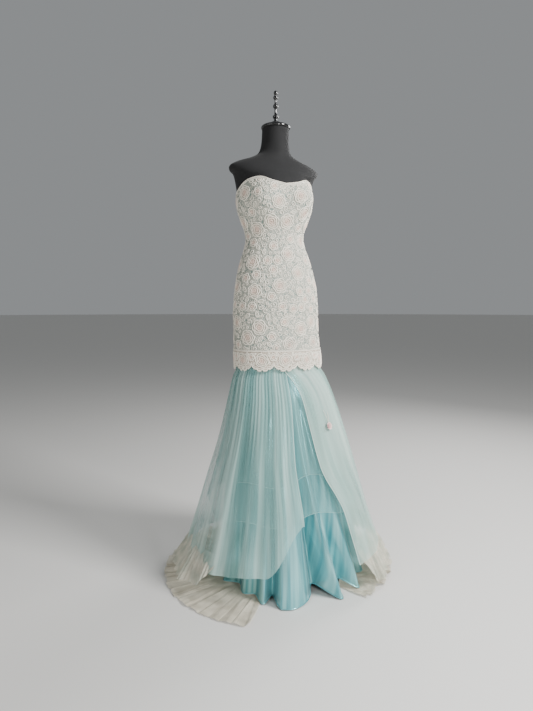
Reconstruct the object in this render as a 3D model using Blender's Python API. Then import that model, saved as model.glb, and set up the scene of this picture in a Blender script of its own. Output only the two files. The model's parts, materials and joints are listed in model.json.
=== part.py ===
"""A strapless mermaid gown on a limbless dress form.

Metres, +Z up. The origin is under the pole, on the floor, and the front of the gown faces -Y.
Angles run round the figure from the centre front (0) towards +X (90) and the centre back (180).
"""

import math
from collections import namedtuple

import bmesh
import bpy
import numpy as np

# Sheath, from its hem to the neckline
SHEATH_WALL = 0.002
SHEATH_HEM = 0.770
SHEATH_HEIGHTS = (SHEATH_HEM, 0.81, 0.87, 0.94, 1.01, 1.08, 1.14, 1.20, 1.26, 1.31)
SHEATH_COLUMNS = 48
SIDE_SEAM = 82.5
SEAM_GAP = 0.0003

# Bust cups of the general figure
CUP_HEIGHT = 1.335
CUP_RISE = 0.020
CUP_SPREAD = 0.050
CUP_ANGLE = 33.0
CUP_WIDTH = 20.0

# Centre-back zip
ZIP_WIDTH = 0.0060
ZIP_WALL = 0.0014
ZIP_INSET = 0.0004
ZIP_END = 0.940
SLIDER_SIZE = (0.0080, 0.0034, 0.0110)
SLIDER_DROP = 0.010
TAB_SIZE = (0.0060, 0.0016, 0.0220)

# Lace border: scallops below a straight top edge
BORDER_TOP = 0.812
BORDER_WALL = 0.002
SCALLOP_HEIGHTS = (0.768, 0.751, 0.745, 0.750)
BORDER_NOTCH = 7.5
BORDER_COLUMNS_A_SCALLOP = 4

# Skirts, sewn in under the sheath's hem
SKIRT_TOP = 0.785
TUCK = 0.0008
OVERLAY_WALL = 0.0012
OVERLAY_FROM = 7.5
OVERLAY_TO = 112.5
OVERLAY_HEM = 0.105
OVER_WALL = 0.0016
CORNER_ROOM = 1.25
SKIRT_HEIGHTS = (0.36, 0.58, 0.70, 0.745, SKIRT_TOP)
OVER_SEAM = 85.0
OVER_HEM_FRONT = 0.110
OVER_HEM_BACK = 0.075
GATHERS = 48
GATHER_WAVE = (0.0, 1.0, 0.45)
UNDER_WALL = 0.0012
UNDER_HEM = 0.265
UNDER_HEM_WAVE = 0.022
UNDER_COLUMNS = 48
SATIN_WALL = 0.0015
SATIN_HEIGHTS = (0.0, 0.17, 0.36, 0.58, 0.745, SKIRT_TOP)
SATIN_COLUMNS = 96
SATIN_SEAM = 90.0
SATIN_ROOM = 0.0011
SATIN_FOLDS_FROM = 0.66
SATIN_HEM = 0.0035

# Net flounce inside the satin, spread on the floor at the sides and the back
NET_WALL = 0.0014
NET_GAP = 0.0006
NET_ROWS = 1
NET_FROM = 26.25
NET_TO = 326.25
NET_RUFFLE = 0.042

# Flower on the overlay
FLOWER_ANGLE = 28.0
FLOWER_HEIGHT = 0.555
FLOWER_RADIUS = 0.013
FLOWER_PETALS = 5
FLOWER_RISE = 0.0045

# Dress form
FORM_GAP = 0.0003
FORM_BOTTOM = 0.795
FORM_ROUNDING = 0.006
NECK_TOP = 1.586
POLE_RADIUS = 0.0125
BASE_RADIUS = 0.135
BASE_THICKNESS = 0.012
CAP_TOP = 1.604

Body = namedtuple("Body", "height half_width half_depth centre_y")
BODY = (
    Body(0.745, 0.1612, 0.1212, -0.022),
    Body(0.770, 0.1610, 0.1210, -0.020),
    Body(0.810, 0.1600, 0.1205, -0.012),
    Body(0.870, 0.1578, 0.1200, -0.004),
    Body(0.940, 0.1572, 0.1200, 0.000),
    Body(1.010, 0.1526, 0.1160, 0.000),
    Body(1.080, 0.1402, 0.1070, 0.004),
    Body(1.140, 0.1229, 0.0960, 0.008),
    Body(1.170, 0.1118, 0.0900, 0.011),
    Body(1.200, 0.1053, 0.0880, 0.014),
    Body(1.230, 0.1088, 0.0910, 0.016),
    Body(1.260, 0.1208, 0.0990, 0.016),
    Body(1.310, 0.1368, 0.1070, 0.015),
    Body(1.340, 0.1401, 0.1080, 0.014),
    Body(1.370, 0.1383, 0.1040, 0.012),
    Body(1.402, 0.1330, 0.0980, 0.012),
)

Neckline = namedtuple("Neckline", "angle height")
NECKLINE = (
    Neckline(0.0, 1.380),
    Neckline(18.0, 1.388),
    Neckline(40.0, 1.402),
    Neckline(60.0, 1.396),
    Neckline(90.0, 1.366),
    Neckline(130.0, 1.345),
    Neckline(180.0, 1.337),
)

# The form above the neckline: armless shoulders and the neck
SHOULDERS = (
    Body(1.418, 0.1500, 0.0930, 0.014),
    Body(1.436, 0.1660, 0.0810, 0.016),
    Body(1.452, 0.1640, 0.0700, 0.017),
    Body(1.468, 0.1360, 0.0610, 0.018),
    Body(1.482, 0.0950, 0.0560, 0.018),
    Body(1.500, 0.0620, 0.0510, 0.016),
    Body(1.530, 0.0500, 0.0475, 0.010),
    Body(NECK_TOP, 0.0475, 0.0465, 0.004),
)

# Reach of the outermost tulle about a centre line that leans forward
Skirt = namedtuple("Skirt", "height left right depth centre_y")
SKIRT = (
    Skirt(0.000, 0.3850, 0.4080, 0.3620, -0.030),
    Skirt(0.080, 0.3597, 0.3856, 0.3420, -0.030),
    Skirt(0.221, 0.3134, 0.3370, 0.2980, -0.030),
    Skirt(0.361, 0.2700, 0.2959, 0.2550, -0.030),
    Skirt(0.498, 0.2265, 0.2558, 0.2120, -0.028),
    Skirt(0.634, 0.1921, 0.2099, 0.1700, -0.026),
    Skirt(0.700, 0.1762, 0.1838, 0.1400, -0.024),
    Skirt(0.722, 0.1692, 0.1730, 0.1290, -0.023),
)

# How far each layer's own folds fall in from its crests
Fullness = namedtuple("Fullness", "height setback gather sway under")
FULLNESS = (
    Fullness(0.00, 0.0026, 0.0170, 0.0160, 0.0040),
    Fullness(0.10, 0.0026, 0.0160, 0.0140, 0.0040),
    Fullness(0.30, 0.0026, 0.0130, 0.0100, 0.0040),
    Fullness(0.47, 0.0026, 0.0110, 0.0070, 0.0030),
    Fullness(0.61, 0.0026, 0.0090, 0.0040, 0.0020),
    Fullness(0.70, 0.0024, 0.0060, 0.0020, 0.0015),
    Fullness(0.745, 0.0018, 0.0030, 0.0005, 0.0010),
    Fullness(SKIRT_TOP, 0.0018, 0.0010, 0.0000, 0.0001),
)

# Folds of the satin at the hem: how far it falls in from the crests, and how far its hem lifts
Fold = namedtuple("Fold", "angle ebb lift")
SATIN_FOLDS = (
    Fold(-180.0, 0.080, 0.000),
    Fold(-165.0, 0.060, 0.000),
    Fold(-150.0, 0.105, 0.004),
    Fold(-138.0, 0.085, 0.000),
    Fold(-122.0, 0.135, 0.006),
    Fold(-106.0, 0.112, 0.000),
    Fold(-92.0, 0.142, 0.002),
    Fold(-78.0, 0.108, 0.000),
    Fold(-64.0, 0.132, 0.004),
    Fold(-50.0, 0.092, 0.000),
    Fold(-40.0, 0.086, 0.006),
    Fold(-31.0, 0.046, 0.000),
    Fold(-26.0, 0.088, 0.008),
    Fold(-19.0, 0.012, 0.000),
    Fold(-8.0, 0.020, 0.000),
    Fold(1.0, 0.058, 0.006),
    Fold(8.5, 0.100, 0.022),
    Fold(17.0, 0.000, 0.000),
    Fold(25.0, 0.070, 0.030),
    Fold(32.0, 0.004, 0.002),
    Fold(42.0, 0.074, 0.008),
    Fold(55.0, 0.035, 0.000),
    Fold(68.0, 0.085, 0.006),
    Fold(82.0, 0.050, 0.000),
    Fold(97.0, 0.088, 0.004),
    Fold(112.0, 0.052, 0.000),
    Fold(128.0, 0.085, 0.004),
    Fold(143.0, 0.048, 0.000),
    Fold(160.0, 0.072, 0.000),
    Fold(180.0, 0.080, 0.000),
)

# Reach of the net on the floor from the origin
NetEdge = namedtuple("NetEdge", "angle reach")
NET_EDGE = (
    NetEdge(20.0, 0.395),
    NetEdge(45.0, 0.418),
    NetEdge(75.0, 0.440),
    NetEdge(105.0, 0.432),
    NetEdge(140.0, 0.405),
    NetEdge(180.0, 0.392),
    NetEdge(220.0, 0.398),
    NetEdge(255.0, 0.418),
    NetEdge(290.0, 0.424),
    NetEdge(322.0, 0.428),
    NetEdge(330.0, 0.400),
)

# Turned finial, from its foot to its tip
Turning = namedtuple("Turning", "height radius")
FINIAL = (
    Turning(0.000, 0.0160),
    Turning(0.006, 0.0150),
    Turning(0.009, 0.0070),
    Turning(0.016, 0.0062),
    Turning(0.021, 0.0098),
    Turning(0.027, 0.0098),
    Turning(0.032, 0.0050),
    Turning(0.050, 0.0042),
    Turning(0.056, 0.0086),
    Turning(0.063, 0.0086),
    Turning(0.069, 0.0044),
    Turning(0.080, 0.0040),
    Turning(0.086, 0.0080),
    Turning(0.092, 0.0080),
    Turning(0.097, 0.0042),
    Turning(0.102, 0.0068),
    Turning(0.109, 0.0060),
    Turning(0.114, 0.0020),
)
FINIAL_SIDES = 12


def along(rows, column, places):
    """Values of a table's column at places in its first column, on a smooth curve with no overshoot."""
    knots = np.array([row[0] for row in rows])
    values = np.array([getattr(row, column) for row in rows])
    rises = np.diff(values) / np.diff(knots)
    slopes = np.zeros(len(rows))
    slopes[0] = rises[0]
    slopes[-1] = rises[-1]
    same_way = rises[:-1] * rises[1:] > 0
    both = np.where(same_way, rises[:-1] + rises[1:], 1.0)
    slopes[1:-1] = np.where(same_way, 2 * rises[:-1] * rises[1:] / both, 0.0)
    places = np.clip(np.asarray(places, float), knots[0], knots[-1])
    below = np.clip(np.searchsorted(knots, places) - 1, 0, len(rows) - 2)
    span = knots[below + 1] - knots[below]
    t = (places - knots[below]) / span
    start = (1 + 2 * t) * (1 - t) ** 2 * values[below] + t * (1 - t) ** 2 * span * slopes[below]
    end = t**2 * (3 - 2 * t) * values[below + 1] + t**2 * (t - 1) * span * slopes[below + 1]
    return start + end


def wrapped(angles):
    """Angles brought to -180 to 180 degrees."""
    return (np.asarray(angles, float) + 180.0) % 360.0 - 180.0


def spread(start, stop, step):
    """Angles from start to stop, a step apart."""
    return np.linspace(start, stop, round((stop - start) / step) + 1)


def body_ring(angles, heights, inset=0.0):
    """Points on the figure under the gown, moved in by an inset."""
    turn = np.radians(angles)
    heights = np.broadcast_to(heights, turn.shape)
    up = np.exp(-(((heights - CUP_HEIGHT) / CUP_SPREAD) ** 2))
    side = np.abs(wrapped(angles))
    cup = CUP_RISE * up * np.exp(-(((side - CUP_ANGLE) / CUP_WIDTH) ** 2))
    width = along(BODY, "half_width", heights) + cup - inset
    depth = along(BODY, "half_depth", heights) + cup - inset
    centre = along(BODY, "centre_y", heights)
    return np.stack([width * np.sin(turn), centre - depth * np.cos(turn), heights], axis=-1)


def skirt_reach(heights):
    """Left, right, depth and centre of the outermost tulle, seated under the sheath's hem at its top."""
    tuck = SHEATH_WALL + TUCK
    seat = [
        Skirt(height, width - tuck, width - tuck, depth - tuck, centre)
        for height, width, depth, centre in (
            (
                place,
                float(along(BODY, "half_width", place)),
                float(along(BODY, "half_depth", place)),
                float(along(BODY, "centre_y", place)),
            )
            for place in (BODY[0].height, SKIRT_TOP)
        )
    ]
    rows = SKIRT + tuple(seat)
    return [along(rows, column, heights) for column in ("left", "right", "depth", "centre_y")]


def skirt_ring(angles, heights, inset):
    """Points on the outermost tulle's shape, moved in by an inset that may differ from point to point."""
    turn = np.radians(angles)
    heights = np.broadcast_to(heights, turn.shape)
    left, right, depth, centre = skirt_reach(heights)
    width = np.where(np.sin(turn) < 0, left, right) - inset
    return np.stack(
        [width * np.sin(turn), centre - (depth - inset) * np.cos(turn), heights], axis=-1
    )


def moved_in(ring, distance, closed):
    """A horizontal ring moved in by a distance, square to its own edges, with its heights kept."""
    flat = ring[:, :2]
    edges = np.roll(flat, -1, axis=0) - flat
    if not closed:
        edges[-1] = edges[-2]
    ways = np.stack([edges[:, 1], -edges[:, 0]], axis=-1)
    ways /= np.linalg.norm(ways, axis=1, keepdims=True)
    before = np.roll(ways, 1, axis=0)
    if not closed:
        before[0] = ways[0]
    mean = ways + before
    mean /= np.linalg.norm(mean, axis=1, keepdims=True)
    lean = np.maximum((mean * ways).sum(axis=1), 0.7)
    inner = ring.copy()
    inner[:, :2] -= mean * (distance / lean)[:, None]
    return inner


def slid(ring, first, last):
    """An open ring with its end points slid along it, the first forward and the last back."""
    moved = ring.copy()
    start = ring[1] - ring[0]
    finish = ring[-2] - ring[-1]
    start[2] = 0.0
    finish[2] = 0.0
    moved[0] += start * first / np.linalg.norm(start)
    moved[-1] += finish * last / np.linalg.norm(finish)
    return moved


def material(name, colour, roughness, metallic=0.0):
    """A material with one Principled BSDF."""
    made = bpy.data.materials.new(name)
    made.use_nodes = True
    shader = made.node_tree.nodes["Principled BSDF"]
    shader.inputs["Base Color"].default_value = (*colour, 1.0)
    shader.inputs["Roughness"].default_value = roughness
    shader.inputs["Metallic"].default_value = metallic
    return made


def add_object(name, mesh, finish, smooth_below=40.0):
    """Links a mesh as an object with its own material, shaded smooth below an edge angle."""
    mesh.materials.append(finish)
    mesh.shade_smooth()
    mesh.set_sharp_from_angle(angle=math.radians(smooth_below))
    made = bpy.data.objects.new(name, mesh)
    bpy.context.scene.collection.objects.link(made)
    return made


def mesh_of(name, points, faces):
    """A mesh from points and faces, with its faces turned out."""
    mesh = bpy.data.meshes.new(name)
    mesh.from_pydata([tuple(point) for point in points], [], faces)
    shaped = bmesh.new()
    shaped.from_mesh(mesh)
    bmesh.ops.recalc_face_normals(shaped, faces=shaped.faces)
    shaped.to_mesh(mesh)
    shaped.free()
    return mesh


def pair(low, low_beside, high_beside, high):
    """Two triangles over four corners, always parted along the same diagonal so that layers nest."""
    return [(low, low_beside, high_beside), (low, high_beside, high)]


def wall(name, outer, inner, finish, closed=False):
    """A closed cloth wall between an outer and an inner grid of rows by columns."""
    rows, columns = outer.shape[:2]
    points = np.concatenate([outer.reshape(-1, 3), inner.reshape(-1, 3)])
    behind = rows * columns
    faces = []
    for column in range(columns if closed else columns - 1):
        beside = (column + 1) % columns
        for row in range(rows - 1):
            low, high = row * columns, (row + 1) * columns
            shown = pair(low + column, low + beside, high + beside, high + column)
            faces += shown
            faces += [tuple(behind + corner for corner in reversed(face)) for face in shown]
        top = (rows - 1) * columns
        faces += pair(beside, column, behind + column, behind + beside)
        faces += pair(top + column, top + beside, behind + top + beside, behind + top + column)
    if not closed:
        for row in range(rows - 1):
            low, high = row * columns, (row + 1) * columns
            end = columns - 1
            faces += pair(low, high, behind + high, behind + low)
            faces += pair(high + end, low + end, behind + low + end, behind + high + end)
    return add_object(name, mesh_of(name, points, faces), finish)


def turned(name, rings, finish):
    """A closed solid through rings, with a flat face over each end."""
    rings = np.array(rings)
    rows, columns = rings.shape[:2]
    faces = [tuple(reversed(range(columns)))]
    for row in range(rows - 1):
        for column in range(columns):
            beside = (column + 1) % columns
            low, high = row * columns, (row + 1) * columns
            faces += pair(low + column, low + beside, high + beside, high + column)
    faces.append(tuple(range((rows - 1) * columns, rows * columns)))
    return add_object(name, mesh_of(name, rings.reshape(-1, 3), faces), finish)


def circle(radius, height, sides, centre_y=0.0):
    """A horizontal circle of points."""
    turn = np.linspace(0.0, 2 * math.pi, sides, endpoint=False)
    high = np.full(sides, height)
    return np.stack([radius * np.sin(turn), centre_y - radius * np.cos(turn), high], axis=-1)


def neckline(angles):
    """Height of the gown's top edge, the same on both sides."""
    return along(NECKLINE, "height", np.abs(wrapped(angles)))


def sheath_heights(angles):
    """Rows of the sheath: level up to the bust, then easing into the neckline."""
    level = [np.full(len(angles), height) for height in SHEATH_HEIGHTS]
    edge = neckline(angles)
    half_way = (SHEATH_HEIGHTS[-1] + edge) / 2
    return level + [half_way, edge]


def make_sheath(finish):
    """Sheath front and the two backs, parted by the seams and the zip."""
    step = 360.0 / SHEATH_COLUMNS
    panels = (
        ("sheath_front", spread(-SIDE_SEAM, SIDE_SEAM, step), 0.0, 0.0),
        ("sheath_back_right", spread(SIDE_SEAM, 180.0, step), 0.0, 1.0),
        ("sheath_back_left", spread(180.0, 360.0 - SIDE_SEAM, step), 1.0, 0.0),
    )
    for name, angles, zip_first, zip_last in panels:
        outer = []
        inner = []
        for heights in sheath_heights(angles):
            beside_zip = ZIP_WIDTH / 2 if heights.min() >= ZIP_END else 0.0
            ring = body_ring(angles, heights)
            lining = body_ring(angles, heights, SHEATH_WALL)
            shifts = (
                SEAM_GAP / 2 + zip_first * beside_zip,
                SEAM_GAP / 2 + zip_last * beside_zip,
            )
            outer.append(slid(ring, *shifts))
            inner.append(slid(lining, *shifts))
        wall(name, np.array(outer), np.array(inner), finish)


def back_face(height, inset):
    """Y of the gown's back at the centre, at a height and an inset."""
    return float(body_ring(np.array([180.0]), np.array([height]), inset)[0, 1])


def make_zip(tape_finish, metal_finish):
    """Closed zip in the centre-back gap, its slider and the pull tab that swings on the slider."""
    step = 360.0 / SHEATH_COLUMNS
    half = ZIP_WIDTH / 2 - SEAM_GAP / 2
    heights = [height for height in SHEATH_HEIGHTS if height >= ZIP_END]
    heights.append((SHEATH_HEIGHTS[-1] + NECKLINE[-1].height) / 2)
    heights.append(NECKLINE[-1].height)
    heights[0] += SEAM_GAP
    faces = []
    for inset in (ZIP_INSET, ZIP_INSET + ZIP_WALL):
        rows = []
        for height in heights:
            ring = body_ring(np.array([180.0 - step, 180.0, 180.0 + step]), height, inset)
            before = ring[0] - ring[1]
            after = ring[2] - ring[1]
            right = ring[1] + before * half / np.linalg.norm(before)
            left = ring[1] + after * half / np.linalg.norm(after)
            rows.append([right, ring[1], left])
        faces.append(np.array(rows))
    wall("zip_closed", faces[0], faces[1], tape_finish)

    pin_height = NECKLINE[-1].height - SLIDER_DROP
    ends = (pin_height - SLIDER_SIZE[2] / 2, pin_height, pin_height + SLIDER_SIZE[2] / 2)
    seat = max(back_face(height, 0.0) for height in ends)
    slider_y = seat + SEAM_GAP + SLIDER_SIZE[1] / 2
    block("zip_slider", SLIDER_SIZE, (0.0, slider_y, pin_height), 0.0008, metal_finish)
    tab_y = slider_y + SLIDER_SIZE[1] / 2 + SEAM_GAP + TAB_SIZE[1] / 2
    pin = bpy.data.objects.new("zip_pin_axis", None)
    pin.location = (0.0, tab_y, pin_height)
    bpy.context.scene.collection.objects.link(pin)
    hang = TAB_SIZE[1] / 2 - TAB_SIZE[2] / 2
    tab = block("zip_pull", TAB_SIZE, (0.0, 0.0, hang), 0.0006, metal_finish)
    tab.parent = pin


def block(name, size, place, bevel, finish):
    """A small plate with rounded edges."""
    shaped = bmesh.new()
    bmesh.ops.create_cube(shaped, size=1.0)
    bmesh.ops.scale(shaped, vec=size, verts=shaped.verts)
    bmesh.ops.bevel(
        shaped, geom=shaped.edges, offset=bevel, segments=1, affect="EDGES", profile=0.5
    )
    mesh = bpy.data.meshes.new(name)
    shaped.to_mesh(mesh)
    shaped.free()
    made = add_object(name, mesh, finish)
    made.location = place
    return made


def make_border(finish):
    """Scalloped lace edging in two halves, laid over the sheath's hem and moved out from its points."""
    step = 360.0 / SHEATH_COLUMNS
    low = BORDER_NOTCH - 90.0
    for name, start in (("lace_border_front", low), ("lace_border_back", low + 180.0)):
        angles = spread(start, start + 180.0, step)
        phase = np.arange(len(angles)) % BORDER_COLUMNS_A_SCALLOP
        scallops = np.array(SCALLOP_HEIGHTS)[phase]
        middle = np.full(len(angles), SHEATH_HEM + SEAM_GAP)
        rows = [scallops, middle, np.full(len(angles), BORDER_TOP)]
        under = [body_ring(angles, heights, -SEAM_GAP) for heights in rows]
        over = [body_ring(angles, heights, -SEAM_GAP - BORDER_WALL) for heights in rows]
        under = [slid(ring, SEAM_GAP / 2, SEAM_GAP / 2) for ring in under]
        over = [slid(ring, SEAM_GAP / 2, SEAM_GAP / 2) for ring in over]
        wall(name, np.array(over), np.array(under), finish)


def over_hem(angles):
    """Height of the over tulle's hem: a little higher in front."""
    lean = (1 + np.cos(np.radians(angles))) / 2
    return OVER_HEM_BACK + (OVER_HEM_FRONT - OVER_HEM_BACK) * lean


def over_inset(angles, heights):
    """How far the gathered tulle lies in from the outermost shape."""
    gather = along(FULLNESS, "gather", heights)
    sway = along(FULLNESS, "sway", heights)
    turn = np.radians(angles)
    number = np.floor(angles / (360.0 / GATHERS) + 0.5)
    uneven = 0.75 + 0.25 * np.sin(number * 2.4) * np.cos(number * 1.1)
    step = np.rint(angles * GATHERS * len(GATHER_WAVE) / 360.0).astype(int) % len(GATHER_WAVE)
    pleat = gather * uneven * np.array(GATHER_WAVE)[step]
    drift = sway * (0.5 + 0.5 * np.sin(11 * turn + 0.8) * np.cos(3 * turn))
    return along(FULLNESS, "setback", heights) + pleat + drift


def make_halves(names, rings, thickness, seam, finish):
    """A skirt layer's front and back from its whole rings, parted at the side seams' angle."""
    count = len(rings[0])
    side = round(seam * count / 360.0)
    linings = [moved_in(ring, thickness, True) for ring in rings]
    spans = (np.arange(-side, side + 1), np.arange(side, count - side + 1))
    for name, columns in zip(names, spans):
        outer = [slid(ring[columns % count], SEAM_GAP / 2, SEAM_GAP / 2) for ring in rings]
        inner = [slid(ring[columns % count], SEAM_GAP / 2, SEAM_GAP / 2) for ring in linings]
        wall(name, np.array(outer), np.array(inner), finish)


def make_over_tulle(finish):
    """Long gathered tulle, front and back."""
    count = GATHERS * len(GATHER_WAVE)
    angles = np.arange(count) * 360.0 / count
    rings = []
    for height in (0.0,) + SKIRT_HEIGHTS:
        heights = np.maximum(height, over_hem(angles))
        rings.append(skirt_ring(angles, heights, over_inset(angles, heights)))
    make_halves(("over_tulle_front", "over_tulle_back"), rings, OVER_WALL, OVER_SEAM, finish)


def make_overlay(finish):
    """Smooth panel of tulle over the front right."""
    angles = spread(OVERLAY_FROM, OVERLAY_TO, 360.0 / SHEATH_COLUMNS)
    heights = (OVERLAY_HEM,) + SKIRT_HEIGHTS
    outer = [skirt_ring(angles, height, 0.0) for height in heights]
    inner = [skirt_ring(angles, height, OVERLAY_WALL) for height in heights]
    wall("tulle_overlay", np.array(outer), np.array(inner), finish)


def over_depth(heights):
    """How far in the gathered tulle's inner face comes at its deepest."""
    folds = along(FULLNESS, "gather", heights) + along(FULLNESS, "sway", heights)
    return along(FULLNESS, "setback", heights) + folds + OVER_WALL * CORNER_ROOM


def under_inset(angles, heights):
    """How far the under tulle lies in, clear of the deepest gather over it."""
    own = along(FULLNESS, "under", heights) * (0.5 + 0.5 * np.cos(np.radians(angles) * 12))
    return over_depth(heights) + SEAM_GAP + own


def make_under_tulle(finish):
    """Short tulle layer, one piece all round."""
    angles = np.arange(UNDER_COLUMNS) * 360.0 / UNDER_COLUMNS
    turn = np.radians(angles)
    hem = UNDER_HEM + UNDER_HEM_WAVE * np.sin(5 * turn + 0.6) * np.cos(2 * turn)
    outer = []
    for height in (hem,) + SKIRT_HEIGHTS:
        heights = np.broadcast_to(height, angles.shape)
        outer.append(skirt_ring(angles, heights, under_inset(angles, heights)))
    inner = [moved_in(ring, UNDER_WALL, True) for ring in outer]
    wall("under_tulle", np.array(outer), np.array(inner), finish, closed=True)


def satin_grid():
    """Angles of the satin's columns and its outer points, hem first."""
    angles = np.arange(SATIN_COLUMNS) * 360.0 / SATIN_COLUMNS
    ebb = along(SATIN_FOLDS, "ebb", wrapped(angles))
    lift = along(SATIN_FOLDS, "lift", wrapped(angles))
    rows = []
    for height in SATIN_HEIGHTS:
        heights = np.maximum(height, SATIN_HEM + lift)
        own = along(FULLNESS, "under", heights) + UNDER_WALL
        crest = over_depth(heights) + own + SATIN_ROOM
        fall = np.clip(1 - heights / SATIN_FOLDS_FROM, 0.0, 1.0) ** 1.2
        rows.append(skirt_ring(angles, heights, crest + ebb * fall))
    return angles, rows


def make_satin(finish):
    """Satin skirt, front and back, with its large folds and its hem on the floor."""
    rings = satin_grid()[1]
    make_halves(("satin_skirt_front", "satin_skirt_back"), rings, SATIN_WALL, SATIN_SEAM, finish)


def level_with(rings, height):
    """The ring at a height on the straight faces between two rows of rings."""
    above = next(row for row in range(1, len(rings)) if rings[row][:, 2].min() >= height)
    low, high = rings[above - 1], rings[above]
    share = (height - low[:, 2]) / (high[:, 2] - low[:, 2])
    return low + (high - low) * share[:, None]


def pushed_out(ring, angles, distance):
    """A ring moved out from the origin by a distance that may differ from point to point."""
    turn = np.radians(angles)
    moved = ring.copy()
    moved[:, 0] += distance * np.sin(turn)
    moved[:, 1] -= distance * np.cos(turn)
    return moved


def make_net(finish):
    """Net flounce: up against the satin's inside, out under its hem and in ruffles on the floor."""
    angles, rings = satin_grid()
    step = 360.0 / SATIN_COLUMNS
    inside = [moved_in(ring, SATIN_WALL + NET_GAP, True) for ring in rings]
    columns = np.arange(round(NET_FROM / step), round(NET_TO / step) + 1)
    angles = angles[columns]
    wave = np.array([0.0, 0.55, 1.0, 0.4])[columns % 4]
    wave = wave * (0.65 + 0.35 * np.sin(columns * 1.7) * np.cos(columns * 0.6))
    front_face = []
    floor_face = []
    for row in range(NET_ROWS, -1, -1):
        front_face.append(inside[row][columns])
        floor_face.append(moved_in(inside[row][columns], NET_WALL, False))
    foot = front_face[-1].copy()
    foot[:, 2] = NET_WALL
    heel = floor_face[-1].copy()
    heel[:, 2] = 0.0
    front_face.append(foot)
    floor_face.append(heel)
    hem = rings[0][columns].copy()
    hem[:, 2] = NET_WALL
    edge = along(NET_EDGE, "reach", angles)
    hem_reach = np.hypot(hem[:, 0], hem[:, 1])
    room = np.maximum(edge - hem_reach, 0.020)
    for share, rise in ((0.004, 0.0), (0.40, 1.0), (0.74, 0.45), (1.0, 0.75)):
        distance = share if share < 0.01 else room * share
        ring = pushed_out(hem, np.degrees(np.arctan2(hem[:, 0], -hem[:, 1])), distance)
        lifted = NET_RUFFLE * rise * wave
        top = ring.copy()
        top[:, 2] = NET_WALL + lifted
        bottom = ring.copy()
        bottom[:, 2] = lifted
        front_face.append(top)
        floor_face.append(bottom)
    wall("net_flounce", np.array(front_face[::-1]), np.array(floor_face[::-1]), finish)


def make_flower(finish):
    """Five-petalled flower on the overlay."""
    sides = FLOWER_PETALS * 4
    turn = np.linspace(0.0, 2 * math.pi, sides, endpoint=False)
    lobe = 0.78 + 0.22 * np.cos(turn * FLOWER_PETALS)
    rings = []
    for share, rise in ((1.0, 0.0), (1.0, 0.30), (0.62, 1.0), (0.22, 0.55)):
        reach = FLOWER_RADIUS * share * (lobe if share > 0.5 else 1.0)
        high = np.full(sides, FLOWER_RISE * rise)
        rings.append(np.stack([reach * np.cos(turn), reach * np.sin(turn), high], axis=-1))
    flower = turned("flower", rings, finish)
    place = np.array([FLOWER_ANGLE])
    at = skirt_ring(place, FLOWER_HEIGHT, 0.0)[0]
    beside = skirt_ring(place + 1.0, FLOWER_HEIGHT, 0.0)[0] - at
    above = skirt_ring(place, FLOWER_HEIGHT + 0.01, 0.0)[0] - at
    out = np.cross(beside, above)
    out /= np.linalg.norm(out)
    up = above / np.linalg.norm(above)
    side = np.cross(up, out)
    clear = at + out * 0.0009
    for row in range(3):
        for column, axis in enumerate((side, up, out)):
            flower.matrix_world[row][column] = axis[row]
        flower.matrix_world[row][3] = clear[row]


def make_form(cover_finish, gloss_finish, metal_finish):
    """Dress form: torso with neck, cap, finial, pole and base plate."""
    angles = np.arange(SHEATH_COLUMNS) * 360.0 / SHEATH_COLUMNS
    inset = SHEATH_WALL + FORM_GAP
    rings = [body_ring(angles, heights, inset) for heights in sheath_heights(angles)]
    rings[0] = level_with(rings, FORM_BOTTOM + FORM_ROUNDING)
    foot = pushed_out(rings[0], angles, -FORM_ROUNDING)
    foot[:, 2] = FORM_BOTTOM
    rings.insert(0, foot)
    turn = np.radians(angles)
    for row in SHOULDERS:
        high = np.full(len(angles), row.height)
        width = row.half_width * np.sin(turn)
        depth = row.centre_y - row.half_depth * np.cos(turn)
        rings.append(np.stack([width, depth, high], axis=-1))
    turned("form_torso", rings, cover_finish)

    cap = SHOULDERS[-1]
    cap_foot = NECK_TOP + FORM_GAP
    sides = 24
    rows = ((0.0500, 0.0), (0.0515, 0.003), (0.0505, 0.008), (0.040, 0.0135), (0.020, CAP_TOP - cap_foot))
    turned(
        "form_cap",
        [circle(radius, cap_foot + rise, sides, cap.centre_y) for radius, rise in rows],
        gloss_finish,
    )
    finial_foot = CAP_TOP + FORM_GAP
    turned(
        "form_finial",
        [circle(row.radius, finial_foot + row.height, FINIAL_SIDES, cap.centre_y) for row in FINIAL],
        gloss_finish,
    )
    pole_foot = BASE_THICKNESS + FORM_GAP
    pole = [circle(POLE_RADIUS, height, 16) for height in (pole_foot, FORM_BOTTOM - FORM_GAP)]
    turned("form_pole", pole, metal_finish)
    edge = BASE_THICKNESS / 4
    base = (
        (BASE_RADIUS - edge / 2, 0.0),
        (BASE_RADIUS, edge / 2),
        (BASE_RADIUS, BASE_THICKNESS - edge),
        (BASE_RADIUS - edge, BASE_THICKNESS),
    )
    turned("form_base", [circle(radius, height, 36) for radius, height in base], metal_finish)


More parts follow.
